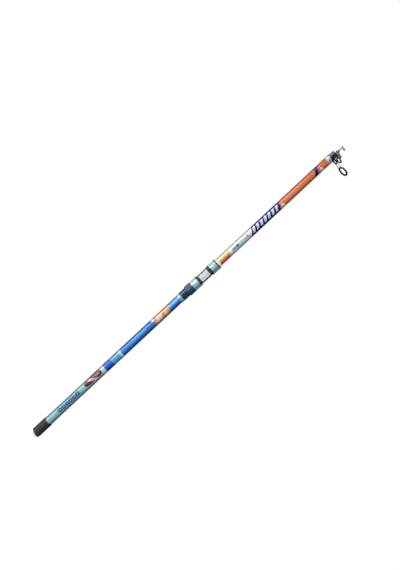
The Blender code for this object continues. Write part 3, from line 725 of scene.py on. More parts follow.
class Surface(Graph):
    """A new material, with its shader and the place on the piece that its patterns read."""

    def __init__(self, name):
        self.material = bpy.data.materials.new(name)
        self.material.use_nodes = True
        super().__init__(self.material.node_tree)
        self.shader = self.tree.nodes["Principled BSDF"]
        self.point = self.add("TexCoord").outputs["Object"]

    def paint(self, shade, roughness, **levels):
        self.fill(self.shader, Base_Color=shade, Roughness=roughness, **levels)

    def worn(self, base, spread):
        return self.group("handling_wear", Point=self.point, Base=base, Spread=spread)["Roughness"]

    def with_painted_edge_shade(self, shade, strength):
        """Painted shade: a colour darkened where the piece is seen at a slant, towards its outline, in place
        of the light's fall-off there.
        """
        if strength == 0.0:
            return shade
        slanted = self.add("LayerWeight", Blend=0.5).outputs["Facing"]
        return self.mix(self.times(slanted, strength), shade, grey(0.0))

    def raise_bump(self, height, strength, distance):
        bump = self.add("Bump", Height=height, Strength=strength, Distance=distance)
        self.feed(self.shader.inputs["Normal"], bump.outputs["Normal"])
        return bump


def moulded_plastic(name, shade, rough=0.34, grain=0.3, coat=0.0, deepen=0.0):
    surface = Surface(name)
    tone = surface.times(surface.noise(surface.point, 160.0), 0.5)
    mottled = surface.mix(tone, shade, scaled(shade, 1.35, 0.004))
    # Painted shade towards the outline, at the given level
    surface.paint(surface.with_painted_edge_shade(mottled, deepen), surface.worn(rough, 0.14),
                  Coat_Weight=coat, Coat_Roughness=0.12)
    surface.raise_bump(surface.noise(surface.point, 1900.0, 2.0, 0.6), grain, 0.00006)


def turned_metal(name, shade, rough=0.26, pitch=0.00028, depth=0.35, metallic=1.0, deepen=0.0):
    surface = Surface(name)
    cloudy = surface.mix(surface.noise(surface.point, 420.0), scaled(shade, 0.82), shade)
    # Painted shade towards the outline, at the given level
    surface.paint(surface.with_painted_edge_shade(cloudy, deepen), surface.worn(rough, 0.12), Metallic=metallic)
    rings = surface.group("lathe_rings", Point=surface.point, Pitch=pitch)["Height"]
    surface.raise_bump(rings, depth, 0.00004)


def brushed_steel(name, shade, scales=(900.0, 900.0, 900.0), rough=0.3, depth=0.25, metallic=1.0):
    """Metal with a brushed grain, or an even one, as the grain's scale along each axis says."""
    surface = Surface(name)
    grain = surface.grain(surface.point, scales, 3.0, 0.6)
    roughness = surface.plus(surface.worn(rough, 0.1), surface.times(surface.minus(grain, 0.5), 0.16))
    surface.paint(surface.mix(grain, scaled(shade, 0.86), shade), roughness, Metallic=metallic)
    return surface, surface.raise_bump(grain, depth, 0.00005)


def pressed_plate(name, shade):
    """Brushed plate, pressed with a low swell along its middle."""
    surface, fine = brushed_steel(name, shade, (40.0, 2600.0, 2600.0), 0.32, 0.3, 0.45)
    swell = surface.math("COSINE", surface.times(surface.parts(surface.point)["Y"], pi / 0.0085))
    bump = surface.add("Bump", Height=swell, Distance=0.0003)
    surface.feed(fine.inputs["Normal"], bump.outputs["Normal"])


def dusty_rubber(name, shade):
    surface = Surface(name)
    dust = surface.math("POWER", surface.noise(surface.point, 240.0, 5.0, 0.65), 2.0)
    surface.paint(surface.mix(dust, shade, scaled(shade, 2.2, 0.01)),
                  surface.mix(dust, 0.62, 0.85, "FLOAT"))
    surface.raise_bump(surface.noise(surface.point, 2600.0, 3.0, 0.7), 0.5, 0.00008)


def carbon_blank(name, shade):
    """Dark lacquered tube with the fine slanting ridges of its wrapped tape."""
    surface = Surface(name)
    where = surface.group("rod_place", Point=surface.point, Radius=0.008)
    slope = surface.times(where["Round"], 0.045)
    ridge = surface.ridges(surface.over(surface.plus(where["Along"], slope), 0.0022))
    surface.paint(surface.mix(ridge, scaled(shade, 0.45), shade), surface.worn(0.2, 0.1),
                  Coat_Weight=0.7, Coat_Roughness=0.06)
    surface.raise_bump(ridge, 0.35, 0.00008)


def polished_ring(name, shade):
    """Glassy dark insert of a guide."""
    surface = Surface(name)
    cloud = surface.noise(surface.point, 300.0, 2.0)
    surface.paint(surface.mix(cloud, shade, scaled(shade, 1.8)), surface.mix(cloud, 0.08, 0.14, "FLOAT"))


PRINT_RADIUS = 0.0124

# Slanted edges printed across the rod: place at the middle, and slant
PATCH_START = (0.4537, 0.43)
PATCH_END = (0.5078, 0.30)
IN_PATCH = ((0.4567, 0.43), (0.5048, 0.30))
WHITE_START = (0.7420, 0.42)
NAVY_START = (0.8294, 0.62)
NAVY_END = (0.9420, 0.60)
STRIPE_START = (1.0822, 0.60)
STRIPE_END = (1.0947, 0.60)


class Print(Surface):
    """The butt section's print, laid on ink by ink, from masks that are 1 where an ink shows. Some inks are
    painted shade and highlight.
    """

    def __init__(self, name):
        super().__init__(name)
        where = self.group("rod_place", Point=self.point, Radius=PRINT_RADIUS)
        self.along, self.across, self.way_round = where["Along"], where["Across"], where["Round"]
        self.shade = None

    def tint(self, ink, factor=1.0):
        """An ink by name, made lighter or darker on the screen's scale."""
        return linear([min(1.0, c * factor) for c in getattr(bpy.context.scene.rod_print, ink)])

    def lay(self, mask, ink, share=1.0):
        """Lay an ink, by name, or a shade over the print, at full strength or thinned to a share."""
        if share < 1.0:
            mask = self.times(mask, share)
        self.shade = self.mix(mask, self.shade, self.tint(ink) if isinstance(ink, str) else ink)

    def edge(self, place, slant=0.0):
        return self.group("slanted_edge", Along=self.along, Across=self.across, Place=place,
                          Slant=slant)["Mask"]

    def between(self, start, end):
        return self.times(self.edge(*start), self.minus(1.0, self.edge(*end)))

    def bars(self, start, pitch, count, share, slant, centre, half):
        return self.group("bar_row", Along=self.along, Round=self.way_round, Start=start, Pitch=pitch,
                          Count=float(count), Share=share, Slant=slant, Centre=centre, Half=half)["Mask"]

    def triangle(self, start, end, tip_along, tip_across, base_across):
        """Between two lines that meet at the tip, from a base on one side of the rod."""
        rise = tip_across - base_across
        left, right = (tip_along - start) / rise, (tip_along - end) / rise
        inside = self.between((start - left * base_across, left), (end - right * base_across, right))
        side = 1.0 if rise > 0.0 else -1.0
        return self.times(inside, self.below(self.times(self.across, side), tip_across * side))

    def oval(self, middle, centre, half_length, half_height, power):
        """A mark with rounded ends: power 1 gives a lozenge, more gives a fuller shape."""
        x = self.size(self.over(self.minus(self.along, middle), half_length))
        y = self.size(self.over(self.minus(self.way_round, centre), half_height))
        return self.below(self.plus(self.math("POWER", x, power), self.math("POWER", y, power)), 1.0)

    def painted_light_across(self, *stops):
        """Painted light across the rod, from the guides' side to the far side, as stops of (height across,
        ink, its factor if any).
        """
        place = self.math("MULTIPLY_ADD", self.across, 0.5 / PRINT_RADIUS, 0.5, clamp=True)
        ramp = self.add("ValToRGB", Fac=place)
        elements = ramp.color_ramp.elements
        elements.remove(elements[1])
        for stop, (height, *ink) in enumerate(stops):
            position = 0.5 + 0.5 * height / PRINT_RADIUS
            element = elements[0] if stop == 0 else elements.new(position)
            element.position = position
            element.color = self.tint(*ink)
        return ramp.outputs["Color"]


def butt_print(plan):
    """From the butt to the blue: silver cyan with hollow boxes and a rounded mark."""
    # Painted shade: silver cyan darkened on the guides' side
    base = plan.painted_light_across((-0.0105, "cyan_painted_shade"), (-0.0040, "silver_cyan"), (0.0080, "silver_cyan"))
    plan.shade = base
    plan.lay(plan.grain(plan.point, (18.0, 220.0, 220.0), 3.0), plan.tint("silver_cyan", 1.12), 0.4)
    plan.lay(plan.oval(0.1300, -0.0020, 0.0430, 0.0100, 3.0), "haze", 0.55)
    plan.lay(plan.bars(0.0925, 0.0128, 6, 0.84, 0.16, -0.0004, 0.0052), "steel_blue")
    plan.lay(plan.bars(0.0962, 0.0128, 6, 0.30, 0.16, -0.0004, 0.0019), base)
    plan.lay(plan.oval(0.2214, -0.0027, 0.0306, 0.0084, 3.4), "maroon")
    plan.lay(plan.oval(0.2228, -0.0024, 0.0262, 0.0052, 2.6), "crimson")
    slash = plan.between((0.2130, -1.7), (0.2270, -1.7))
    plan.lay(plan.times(plan.oval(0.2214, -0.0014, 0.0290, 0.0078, 3.0), slash), "rose", 0.85)
    plan.lay(plan.bars(0.2310, 0.0046, 3, 0.5, 0.3, -0.0027, 0.0030), "rose", 0.6)


def blue_print(plan):
    """The blue bands up to the seat, with the slanted patch."""
    # Painted shade: royal blue darkened on the guides' side
    royal = plan.painted_light_across((-0.0105, "blue_painted_shade"), (-0.0040, "royal"), (0.0080, "royal"))
    for place, ink in ((0.2520, "pale_band"), (0.2637, royal), (0.2912, "cyan")):
        plan.lay(plan.edge(place), ink)
    slope = plan.times(plan.way_round, 0.8)
    lines = [plan.math("GREATER_THAN", plan.math("SINE", plan.times(lean(plan.along, slope), 2600.0)), 0.35)
             for lean in (plan.plus, plan.minus)]
    plan.lay(plan.times(plan.larger(*lines), plan.between((0.2930, 0.0), (0.3188, 0.0))), "blue", 0.35)
    plan.lay(plan.edge(0.3203), "ice")
    # Painted shade: the blue darkened on the guides' side and a little at its far edge
    sky = plan.painted_light_across((-0.0105, "blue_painted_shade"), (-0.0045, "blue"), (0.0060, "blue"), (0.0110, "blue", 0.85))
    plan.lay(plan.edge(0.3268), sky)
    plan.lay(plan.bars(0.3300, 0.0360, 1, 1.1, 0.0, -0.0022, 0.0022), "light_blue_print_and_highlight", 0.35)
    for centre, half, pitch, share in ((-0.0040, 0.0008, 0.0019, 0.62), (-0.0014, 0.0011, 0.0026, 0.66)):
        row = plan.bars(0.3660, pitch, int(0.056 / pitch), share, 0.5, centre, half)
        plan.lay(row, "light_blue_print_and_highlight", 0.9)
    plan.lay(plan.triangle(0.4430, 0.4580, 0.4505, 0.0010, PRINT_RADIUS), "white")

    # Painted shade: the peach patch darkened on the guides' side
    patch = plan.painted_light_across((-0.0100, "tan"), (-0.0035, "peach"), (0.0110, "peach"))
    plan.lay(plan.between(PATCH_START, PATCH_END), patch)
    in_patch = plan.between(*IN_PATCH)
    for bars, ink, share in (((0.4612, 0.0200, 1, 0.98, -0.30, -0.0008, 0.0086), "blush", 0.85),
                             ((0.4830, 0.0030, 2, 0.5, -0.30, -0.0008, 0.0060), "tan", 0.6),
                             ((0.4885, 0.0090, 1, 0.98, -0.30, 0.0020, 0.0060), "blush", 0.45)):
        plan.lay(plan.times(in_patch, plan.bars(*bars)), ink, share)
    # Painted highlight in light blue on the strip lamp's side, and painted shade on the guides' side
    bright = plan.painted_light_across((-0.0105, "blue_painted_shade"), (-0.0030, "blue"), (0.0040, "light_blue_print_and_highlight"), (0.0110, "blue"))
    plan.lay(plan.edge(*PATCH_END), bright)


def white_print(plan):
    """The orange with painted highlight and painted shade across it, and the white stretch with its grey
    marks.
    """
    # Painted light: a cream painted highlight on the lit side and a red-orange painted shade on the guides'
    # side, over yellow and amber ink
    warm = plan.painted_light_across((-0.0105, "red_orange_painted_shade"), (-0.0030, "amber"), (0.0025, "yellow"), (0.0085, "cream_painted_highlight"))
    plan.lay(plan.edge(0.6200), warm)
    # Painted shade: the white darkened on the guides' side
    pale = plan.painted_light_across((-0.0100, "white_painted_shade"), (0.0010, "white"), (0.0100, "white"))
    plan.lay(plan.edge(*WHITE_START), pale)
    band = plan.bars(0.7510, 0.0450, 1, 1.1, 0.0, 0.0014, 0.0050)
    plan.lay(plan.larger(band, plan.oval(0.7950, 0.0014, 0.0110, 0.0052, 1.0)), "mist")
    plan.lay(plan.bars(0.7525, 0.0052, 5, 0.66, 0.2, 0.0014, 0.0024), "grey_mark", 0.9)
    plan.lay(plan.oval(0.7722, 0.0014, 0.0046, 0.0046, 1.0), "grey_mark")
    arrow = plan.oval(0.8020, 0.0014, 0.0040, 0.0030, 1.0)
    plan.lay(plan.larger(arrow, plan.oval(0.8118, 0.0008, 0.0050, 0.0052, 1.3)), "grey_mark", 0.6)


def orange_print(plan):
    """Navy with slanted bars, and the orange stretch to the mouth."""
    # Painted shade: navy darkened on the guides' side; the same ramp fills the navy stripe
    navy = plan.painted_light_across((-0.0100, "navy_painted_shade"), (-0.0020, "navy"), (0.0100, "navy"))
    plan.lay(plan.edge(*NAVY_START), navy)
    plan.lay(plan.bars(0.8345, 0.0150, 7, 0.57, -0.50, -0.0002, 0.0080), "bar_white")
    # Painted light: the orange lighter on the guides' side than on the strip lamp's side, evening out the
    # lamps' shading
    warm = plan.painted_light_across((-0.0100, "orange_painted_fill"), (-0.0020, "orange_painted_fill"), (0.0070, "orange"))
    plan.lay(plan.edge(*NAVY_END), warm)
    plan.lay(plan.triangle(0.9415, 0.9620, 0.9474, 0.0025, -PRINT_RADIUS), "white")
    plan.lay(plan.bars(0.9665, 0.0058, 11, 0.62, -0.2, -0.0013, 0.0030), "salmon", 0.8)
    plan.lay(plan.between(STRIPE_START, STRIPE_END), navy)
    plan.lay(plan.triangle(1.0975, 1.1160, 1.1030, 0.0025, -PRINT_RADIUS), "white")
    plan.lay(plan.edge(1.1325), "silver")


def printed_lacquer(name):
    """The butt section's print under clear lacquer, from the butt to the mouth, with painted shade and
    painted highlight laid over it.
    """
    plan = Print(name)
    for part in (butt_print, blue_print, white_print, orange_print):
        part(plan)
    # Painted shade: the whole print darkened towards the tube's outline
    plan.paint(plan.with_painted_edge_shade(plan.shade, 1.0), plan.worn(0.34, 0.12), Metallic=0.15,
               Coat_Weight=0.3, Coat_Roughness=0.25)
    slope = plan.times(plan.way_round, 0.05)
    wrap = plan.ridges(plan.over(plan.plus(plan.along, slope), 0.0034))
    plan.raise_bump(wrap, 0.12, 0.00004)


# Each material's maker, the name of its colour if it has one, and what else its maker is told
FINISHES = {
    "printed_lacquer": (printed_lacquer, {}),
    "carbon_blank": (carbon_blank, "blank", {}),
    "matt_rubber": (dusty_rubber, "rubber", {}),
    "ring_glaze": (polished_ring, "ring", {}),
    # The seat's moulding is darkened towards its outline as painted shade
    "seat_moulding": (moulded_plastic, "seat", {"rough": 0.3, "grain": 0.25, "coat": 0.6, "deepen": 0.7}),
    "guide_enamel": (moulded_plastic, "guide", {"rough": 0.2, "grain": 0.1, "coat": 0.6}),
    "hoop_enamel": (moulded_plastic, "hoop", {"rough": 0.4, "grain": 0.1}),
    "collar_metal": (turned_metal, "collar", {"rough": 0.28, "metallic": 0.6}),
    "plug_metal": (turned_metal, "collar", {"rough": 0.3, "pitch": 0.0004}),
    "seat_trim": (turned_metal, "trim", {"rough": 0.32, "pitch": 0.0005, "depth": 0.15, "metallic": 0.35}),
    # The front trim is darkened a little towards its outline as painted shade
    "front_trim": (turned_metal, "front_trim", {
        "rough": 0.45, "pitch": 0.0005, "depth": 0.15, "metallic": 0.0, "deepen": 0.3}),
    "hood_metal": (brushed_steel, "hood", {
        "scales": (1500.0, 60.0, 60.0), "rough": 0.36, "depth": 0.25, "metallic": 0.6}),
    "plate_metal": (pressed_plate, "plate", {}),
    "leg_wire": (brushed_steel, "leg", {"rough": 0.35}),
    "tip_metal": (brushed_steel, "tip", {"rough": 0.28}),
}


def finish(name):
    """A material by name, made the first time that it is asked for."""
    if name not in bpy.data.materials:
        make, *shade, values = FINISHES[name]
        make(name, *[linear(getattr(bpy.context.scene.rod_finish, ink)) for ink in shade], **values)
    return bpy.data.materials[name]


class ROD_OT_butt_tube(bpy.types.Operator):
    """Printed and lacquered tube of the butt section"""

    bl_idname = "rod.butt_tube"
    bl_label = "Butt tube"

    def execute(self, context):
        rings = turned_rings("butt_tube")
        places = list(rings)
        start, step, end = places[0], places[1], places[-1]
        piece = turn("butt_tube_print", [
            (end, rings[end][-1]), (step, rings[step][0]), (step, rings[step][-1]),
            (start, rings[start][-1]), (start, rings[start][0]), (end, rings[end][0]),
        ], soften=0.00012, soften_steps=2)
        dress(piece, "handle", "blue_paint", "butt_tube", "printed_lacquer")
        return {"FINISHED"}


class ROD_OT_mouth_collar(bpy.types.Operator):
    """Turned collar at the mouth of the butt section"""

    bl_idname = "rod.mouth_collar"
    bl_label = "Mouth collar"

    def execute(self, context):
        rings = turned_rings("mouth_collar")
        start, end = list(rings)[0], list(rings)[-1]
        inside, outside = rings[start][0], rings[start][-1]
        groove, black_part = 0.00022, 0.0046
        profile = [(end, outside)]
        for place in (end - 0.0012, end - black_part, start + 0.0034, start + 0.0024):
            profile += [(place + 0.0003, outside), (place + 0.0001, outside - groove),
                        (place - 0.0001, outside - groove), (place - 0.0003, outside)]
        profile += [(start, outside), (start, inside), (end, inside)]
        piece = turn("mouth_collar_turned", profile, soften=0.00006, soften_steps=2)
        coat_in_two(piece, "collar_metal", "guide_enamel", lambda centre: centre.x > end - black_part)
        dress(piece, "handle", "turned_metal", "mouth_collar")
        return {"FINISHED"}


class ROD_OT_butt_sleeve(bpy.types.Operator):
    """Ribbed rubber sleeve over the butt"""

    bl_idname = "rod.butt_sleeve"
    bl_label = "Butt sleeve"

    def execute(self, context):
        start, end, outside, inside = ring_sizes("butt_sleeve")
        pitch, groove = 0.0036, 0.0006
        profile = [(start, inside), (start, outside)]
        place = start + 0.0060
        while place < end - 0.0070:
            profile += [(place, outside), (place + 0.0004, outside - groove),
                        (place + 0.0012, outside - groove), (place + 0.0016, outside)]
            place += pitch
        profile += [(end - 0.0022, outside), (end - 0.0008, outside - 0.0004),
                    (end - 0.0001, outside - 0.0009), (end, inside)]
        piece = turn("butt_sleeve_ribbed", profile, soften=0.00022)
        dress(piece, "handle", "rubber", "butt_sleeve", "matt_rubber")
        return {"FINISHED"}


class ROD_OT_butt_plug(bpy.types.Operator):
    """Knurled screw plug, with the bush it screws into and the pad behind it"""

    bl_idname = "rod.butt_plug"
    bl_label = "Butt plug, bush and pad"

    def execute(self, context):
        start, end, rim = span("butt_plug")
        pad_rings = turned_rings("butt_pad")
        stem = max(pad_rings[list(pad_rings)[0]])
        bush_start, bush_end, bush_outside, bush_inside = ring_sizes("butt_bush")
        shoulder = bush_start - FIT_GAP
        knurls, depth, dimple_centre = 48, 0.00045, 0.0006
        root = stem * 0.92
        plug_pitch = 0.0020

        def knurled(angle):
            return rim - depth * (0.5 - 0.5 * cos(knurls * angle)) ** 1.5

        rings = [
            (start + 0.0009, dimple_centre), (start + 0.0009, rim * 0.50), (start + 0.0007, rim * 0.53),
            (start + 0.0001, rim * 0.56), (start, rim * 0.58), (start, rim * 0.86),
            (start + 0.0002, rim * 0.90), (start + 0.0009, rim - 0.0005), (start + 0.0012, knurled),
            (shoulder - 0.0012, knurled), (shoulder - 0.0009, rim - 0.0005),
            (shoulder - 0.0002, rim * 0.90), (shoulder, rim * 0.86), (shoulder, stem * 0.94),
            (shoulder + 0.0004, stem * 0.90),
        ]
        place = shoulder + 0.0014
        while place < end - 0.0016:
            rings += [(place, root), (place + 0.0006, stem), (place + 0.0009, stem), (place + 0.0015, root)]
            place += plug_pitch
        rings += [(end - 0.0006, root), (end, stem * 0.88), (end, dimple_centre)]
        plug = loft("butt_plug_knurled", rings, steps=384, closed=False)
        dress(plug, "butt_plug", "turned_metal", "butt_plug", "plug_metal")

        bush = turn("butt_bush_turned", [
            (bush_end, bush_outside), (bush_start, bush_outside),
            (bush_start, bush_inside), (bush_end, bush_inside),
        ], soften=0.0002)
        dress(bush, "handle", "turned_metal", "butt_bush", "collar_metal")

        pad_start, pad_end, _ = span("butt_pad")
        pad = turn("butt_pad_moulded", [
            (pad_start, 0.0), (pad_start, stem), (pad_end, stem), (pad_end, 0.0),
        ], soften=0.0004)
        dress(pad, "butt_pad", "rubber", "butt_pad", "matt_rubber")
        return {"FINISHED"}


class ROD_OT_trim_rings(bpy.types.Operator):
    """Pale rings at both ends of the reel seat"""

    bl_idname = "rod.trim_rings"
    bl_label = "Seat trim rings"

    def execute(self, context):
        start, end, outside, inside = ring_sizes("rear_trim_ring", bore_at_end=True)
        groove = outside - 0.00025
        rear = turn("rear_trim_turned", [
            (end, outside), (end - 0.0016, outside), (end - 0.0018, groove), (end - 0.0022, groove),
            (end - 0.0024, outside), (start + 0.0016, outside), (start + 0.0007, outside - 0.0001),
            (start + 0.0002, outside - 0.00028), (start, inside + 0.00006), (start, inside),
            (end, inside),
        ], soften=0.0001)
        dress(rear, "handle", "pale_trim", "rear_trim_ring", "seat_trim")

        start, end, outside, inside = ring_sizes("front_trim_ring")
        thin = inside + 0.0003
        front = turn("front_trim_turned", [
            (end, thin), (start + 0.0052, thin + 0.22 * (outside - thin)),
            (start + 0.0028, thin + 0.62 * (outside - thin)), (start + 0.0012, outside - 0.0001),
            (start, outside), (start, inside), (end, inside),
        ], soften=0.0001, smooth_angle=50.0)
        dress(front, "handle", "pale_trim", "front_trim_ring", "front_trim")
        return {"FINISHED"}


class ROD_OT_seat_barrel(bpy.types.Operator):
    """Moulded barrel of the reel seat, with its thread and the saddle for the foot"""

    bl_idname = "rod.seat_barrel"
    bl_label = "Seat barrel"

    def execute(self, context):
        sizes = context.scene.rod_seat
        low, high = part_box("reel_seat_body")
        start, end = low.x, high.x
        radii = turned_rings("reel_seat_body")[round(end, 5)]
        inside, full = radii[0], radii[-1]
        hood_start, hood_mouth, _ = span("moving_hood")
        fixed_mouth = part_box("fixed_hood")[0].x
        thread_start, thread_end = start + 0.0022, hood_start + 0.0060
        root = sizes.barrel_radius
        barrel = turn("seat_barrel", [
            (end, full), (thread_end + 0.0012, full), (thread_end + 0.0006, root), (start + 0.0020, root),
            (start + 0.0012, full - 0.0001), (start, full - 0.0001), (start, inside), (end, inside),
        ], soften=0.0001, soften_steps=2)
        turns = (thread_end - thread_start) / sizes.thread_pitch
        thread = self.thread(sizes, thread_start, root, turns)
        reach = sizes.saddle_reach
        saddle = self.saddle(sizes, hood_mouth - reach, fixed_mouth + reach, root)
        piece = rename(join_pieces(barrel, [thread, saddle]), "seat_barrel_moulded")
        dress(piece, "handle", "seat_plastic", "reel_seat_body", "seat_moulding")
        return {"FINISHED"}

    def thread(self, sizes, start, root, turns):
        """One ridge wound round the barrel, run out at its rear end."""
        half = sizes.thread_width / 2.0
        sink, steps, run_out = 0.0002, 72, 0.6
        top = root + sizes.thread_height
        ridge = draw_profile("seat_thread", [
            (-half, root - sink), (-half * 0.94, root + 0.00006), (-half * 0.44, top - 0.00012),
            (-half * 0.22, top), (half * 0.22, top), (half * 0.44, top - 0.00012),
            (half * 0.94, root + 0.00006), (half, root - sink),
        ], start)
        select_vertices(ridge, lambda co: co.z < root - sink / 2.0)
        bpy.ops.mesh.edge_face_add()
        apply_step(ridge, "SCREW", axis="X", iterations=1, angle=2.0 * pi * turns,
                   screw_offset=sizes.thread_pitch * turns, steps=int(steps * turns),
                   render_steps=int(steps * turns), use_smooth_shade=True)
        for vertex in ridge.data.vertices:
            around = atan2(-vertex.co.y, vertex.co.z) / (2.0 * pi)
            turned = round((vertex.co.x - start) / sizes.thread_pitch - around) + around
            sunk = (sizes.thread_height + sink) * max(0.0, 1.0 - turned / run_out) ** 1.5
            radius = hypot(vertex.co.y, vertex.co.z)
            vertex.co.y *= (radius - sunk) / radius
            vertex.co.z *= (radius - sunk) / radius
        bpy.ops.object.mode_set(mode="EDIT")
        bpy.ops.mesh.select_mode(type="EDGE")
        bpy.ops.mesh.select_all(action="DESELECT")
        bpy.ops.mesh.select_non_manifold(extend=False)
        bpy.ops.mesh.fill_holes(sides=0)
        return close_up(ridge, 50.0)

    def saddle(self, sizes, start, end, root):
        """Flat saddle under the hoods, widened to a platform with a bed for the foot plate."""
        plate_low, plate_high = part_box("foot_plate")
        border, top = sizes.platform_border, sizes.saddle_top
        layers = soft_top(0.0, top, 0.0005)
        saddle = slab("saddle", start, end, sizes.saddle_half_width, 0.0034, layers)
        combine(saddle, slab("platform", plate_low.x - border, plate_high.x + border,
                             plate_high.y + border, 0.0020, layers), "UNION")
        combine(saddle, slab("bed", plate_low.x - FIT_GAP, plate_high.x + FIT_GAP,
                             plate_high.y + FIT_GAP, 0.0011,
                             [(plate_low.z - FIT_GAP, 0.0), (top + 0.01, 0.0)]), "DIFFERENCE")
        deselect_all()
        bpy.ops.mesh.primitive_cylinder_add(vertices=192, radius=root - 0.0003, depth=1.0,
                                            location=(start, 0.0, 0.0), rotation=ACROSS_ROD)
        combine(saddle, bpy.context.object, "DIFFERENCE")
        bpy.ops.object.mode_set(mode="EDIT")
        return close_up(saddle, 25.0)


class ROD_OT_foot_plate(bpy.types.Operator):
    """Bright plate that the reel's foot rests on"""

    bl_idname = "rod.foot_plate"
    bl_label = "Foot plate"

    def execute(self, context):
        low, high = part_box("foot_plate")
        floor = high.z - 0.00012
        layers = soft_top(low.z, high.z, 0.00025)
        layers += [(high.z, 0.0012), (floor, 0.0013), (floor, 0.0016), (high.z, 0.0017)]
        piece = slab("foot_plate_bright", low.x, high.x, high.y, 0.0009, layers)
        dress(piece, "handle", "plate_silver", "foot_plate", "plate_metal")
        return {"FINISHED"}


def arch_outline(radius, top, half_width, squareness=3.4, soften=0.0009):
    """Radius round a hood at each angle: a circle that turns into a flat-topped arch."""
    def reach(angle):
        up = cos(angle)
        if up <= 0.0 or top <= radius:
            return radius
        arch = (up / top) ** squareness + (abs(sin(angle)) / half_width) ** squareness
        gap = arch ** (-1.0 / squareness) - radius
        return radius + 0.5 * (gap + hypot(gap, soften)) - 0.5 * (hypot(soften, radius) - radius)
    return reach


def hood_bore():
    return ring_sizes("hood_flange", bore_at_end=True)[3]


class Hood:
    """A moulded hood and its steel cover, from the closed end to the mouth."""

    def __init__(self, sizes, closed_x, mouth_x):
        self.sizes, self.closed_x, self.mouth_x = sizes, closed_x, mouth_x
        self.away = 1.0 if mouth_x > closed_x else -1.0
        self.bore = hood_bore()
        self.outside = self.bore + sizes.hood_wall
        self.cover_inside = self.outside + FIT_GAP
        self.cover_outside = self.cover_inside + sizes.cover_wall

    def ring(self, x, radius, stand_off):
        """The outline at a place, on an arch that rises from the closed end and stands off by a wall."""
        sizes = self.sizes
        share = min(max((x - self.closed_x) / (self.mouth_x - self.closed_x), 0.0), 1.0)
        rise = min(share / sizes.arch_slope, 1.0)
        rise = rise * rise * (3.0 - 2.0 * rise)
        full = sizes.saddle_top + sizes.arch_clear + stand_off
        return x, arch_outline(radius, radius + (full - radius) * rise, sizes.arch_half_width + stand_off)

    def moulding(self, name):
        """The hood, whose bare lip has two fine grooves round its mouth."""
        lip = self.sizes.hood_lip
        lip_x = self.mouth_x - self.away * lip
        lip_off = self.cover_outside - self.bore
        rings = [self.ring(x, self.outside, self.sizes.hood_wall) for x in spread(self.closed_x, lip_x, 14)]
        for ahead, dip in ((0.0, 0.00012), (0.00025, 0.0), (0.0011, 0.0), (0.0013, 0.0004),
                           (0.0016, 0.0004), (0.0018, 0.0), (0.0024, 0.0), (0.0026, 0.0004),
                           (0.0029, 0.0004), (0.0031, 0.0), (lip - 0.0006, 0.0), (lip - 0.0002, 0.0002),
                           (lip, 0.0005)):
            rings.append(self.ring(lip_x + self.away * ahead, self.cover_outside - dip, lip_off - dip))
        rings += [self.ring(x, self.bore, 0.0) for x in spread(self.mouth_x, self.closed_x, 18)]
        return loft(name, rings, HOOD_STEPS, smooth_angle=30.0)

    def cover(self, name):
        """The steel cover, rolled in at its closed end."""
        away, closed_x = self.away, self.closed_x
        end_x = self.mouth_x - away * (self.sizes.hood_lip + FIT_GAP)
        off_in = self.sizes.hood_wall + FIT_GAP
        off_out = off_in + self.sizes.cover_wall

        def outer(x, dip=0.0, ahead=0.0):
            """A ring a little ahead of the place whose outline it takes."""
            _, outline = self.ring(x, self.cover_outside - dip, off_out - dip)
            return x + away * ahead, outline

        rings = [outer(closed_x, 0.0004), outer(closed_x, 0.00015, 0.0001), outer(closed_x, 0.0, 0.0004)]
        rings += [outer(x) for x in spread(closed_x + away * 0.0008, end_x - away * 0.0002, 22)]
        rings.append(outer(end_x, 0.00015))
        rings += [self.ring(x, self.cover_inside, off_in) for x in spread(end_x, closed_x, 16)]
        return loft(name, rings, HOOD_STEPS, smooth_angle=30.0)


class ROD_OT_hoods(bpy.types.Operator):
    """Fixed and moving hood, with their steel covers and the flange in front of the fixed one"""

    bl_idname = "rod.hoods"
    bl_label = "Hoods, covers and flange"

    def execute(self, context):
        fixed_low, fixed_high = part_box("fixed_hood")
        moving_low, moving_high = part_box("moving_hood")
        for node, closed_x, mouth_x, body in (("fixed_hood", fixed_high.x, fixed_low.x, "handle"),
                                              ("moving_hood", moving_low.x, moving_high.x, "moving_hood")):
            hood = Hood(context.scene.rod_seat, closed_x, mouth_x)
            dress(hood.moulding(node + "_moulded"), body, "seat_plastic", node, "seat_moulding")
            dress(hood.cover(node + "_steel"), body, "hood_steel", node + "_cover", "hood_metal")

        start, end, outside, inside = ring_sizes("hood_flange", bore_at_end=True)
        low = outside - 0.0003
        flange = turn("hood_flange_turned", [
            (end, low), (end - 0.0003, outside), (end - 0.0012, outside), (end - 0.0014, low),
            (end - 0.0017, low), (end - 0.0019, outside), (start + 0.0003, outside), (start, low),
            (start, inside), (end, inside),
        ], soften=0.00008)
        dress(flange, "handle", "seat_plastic", "hood_flange", "seat_moulding")
        return {"FINISHED"}


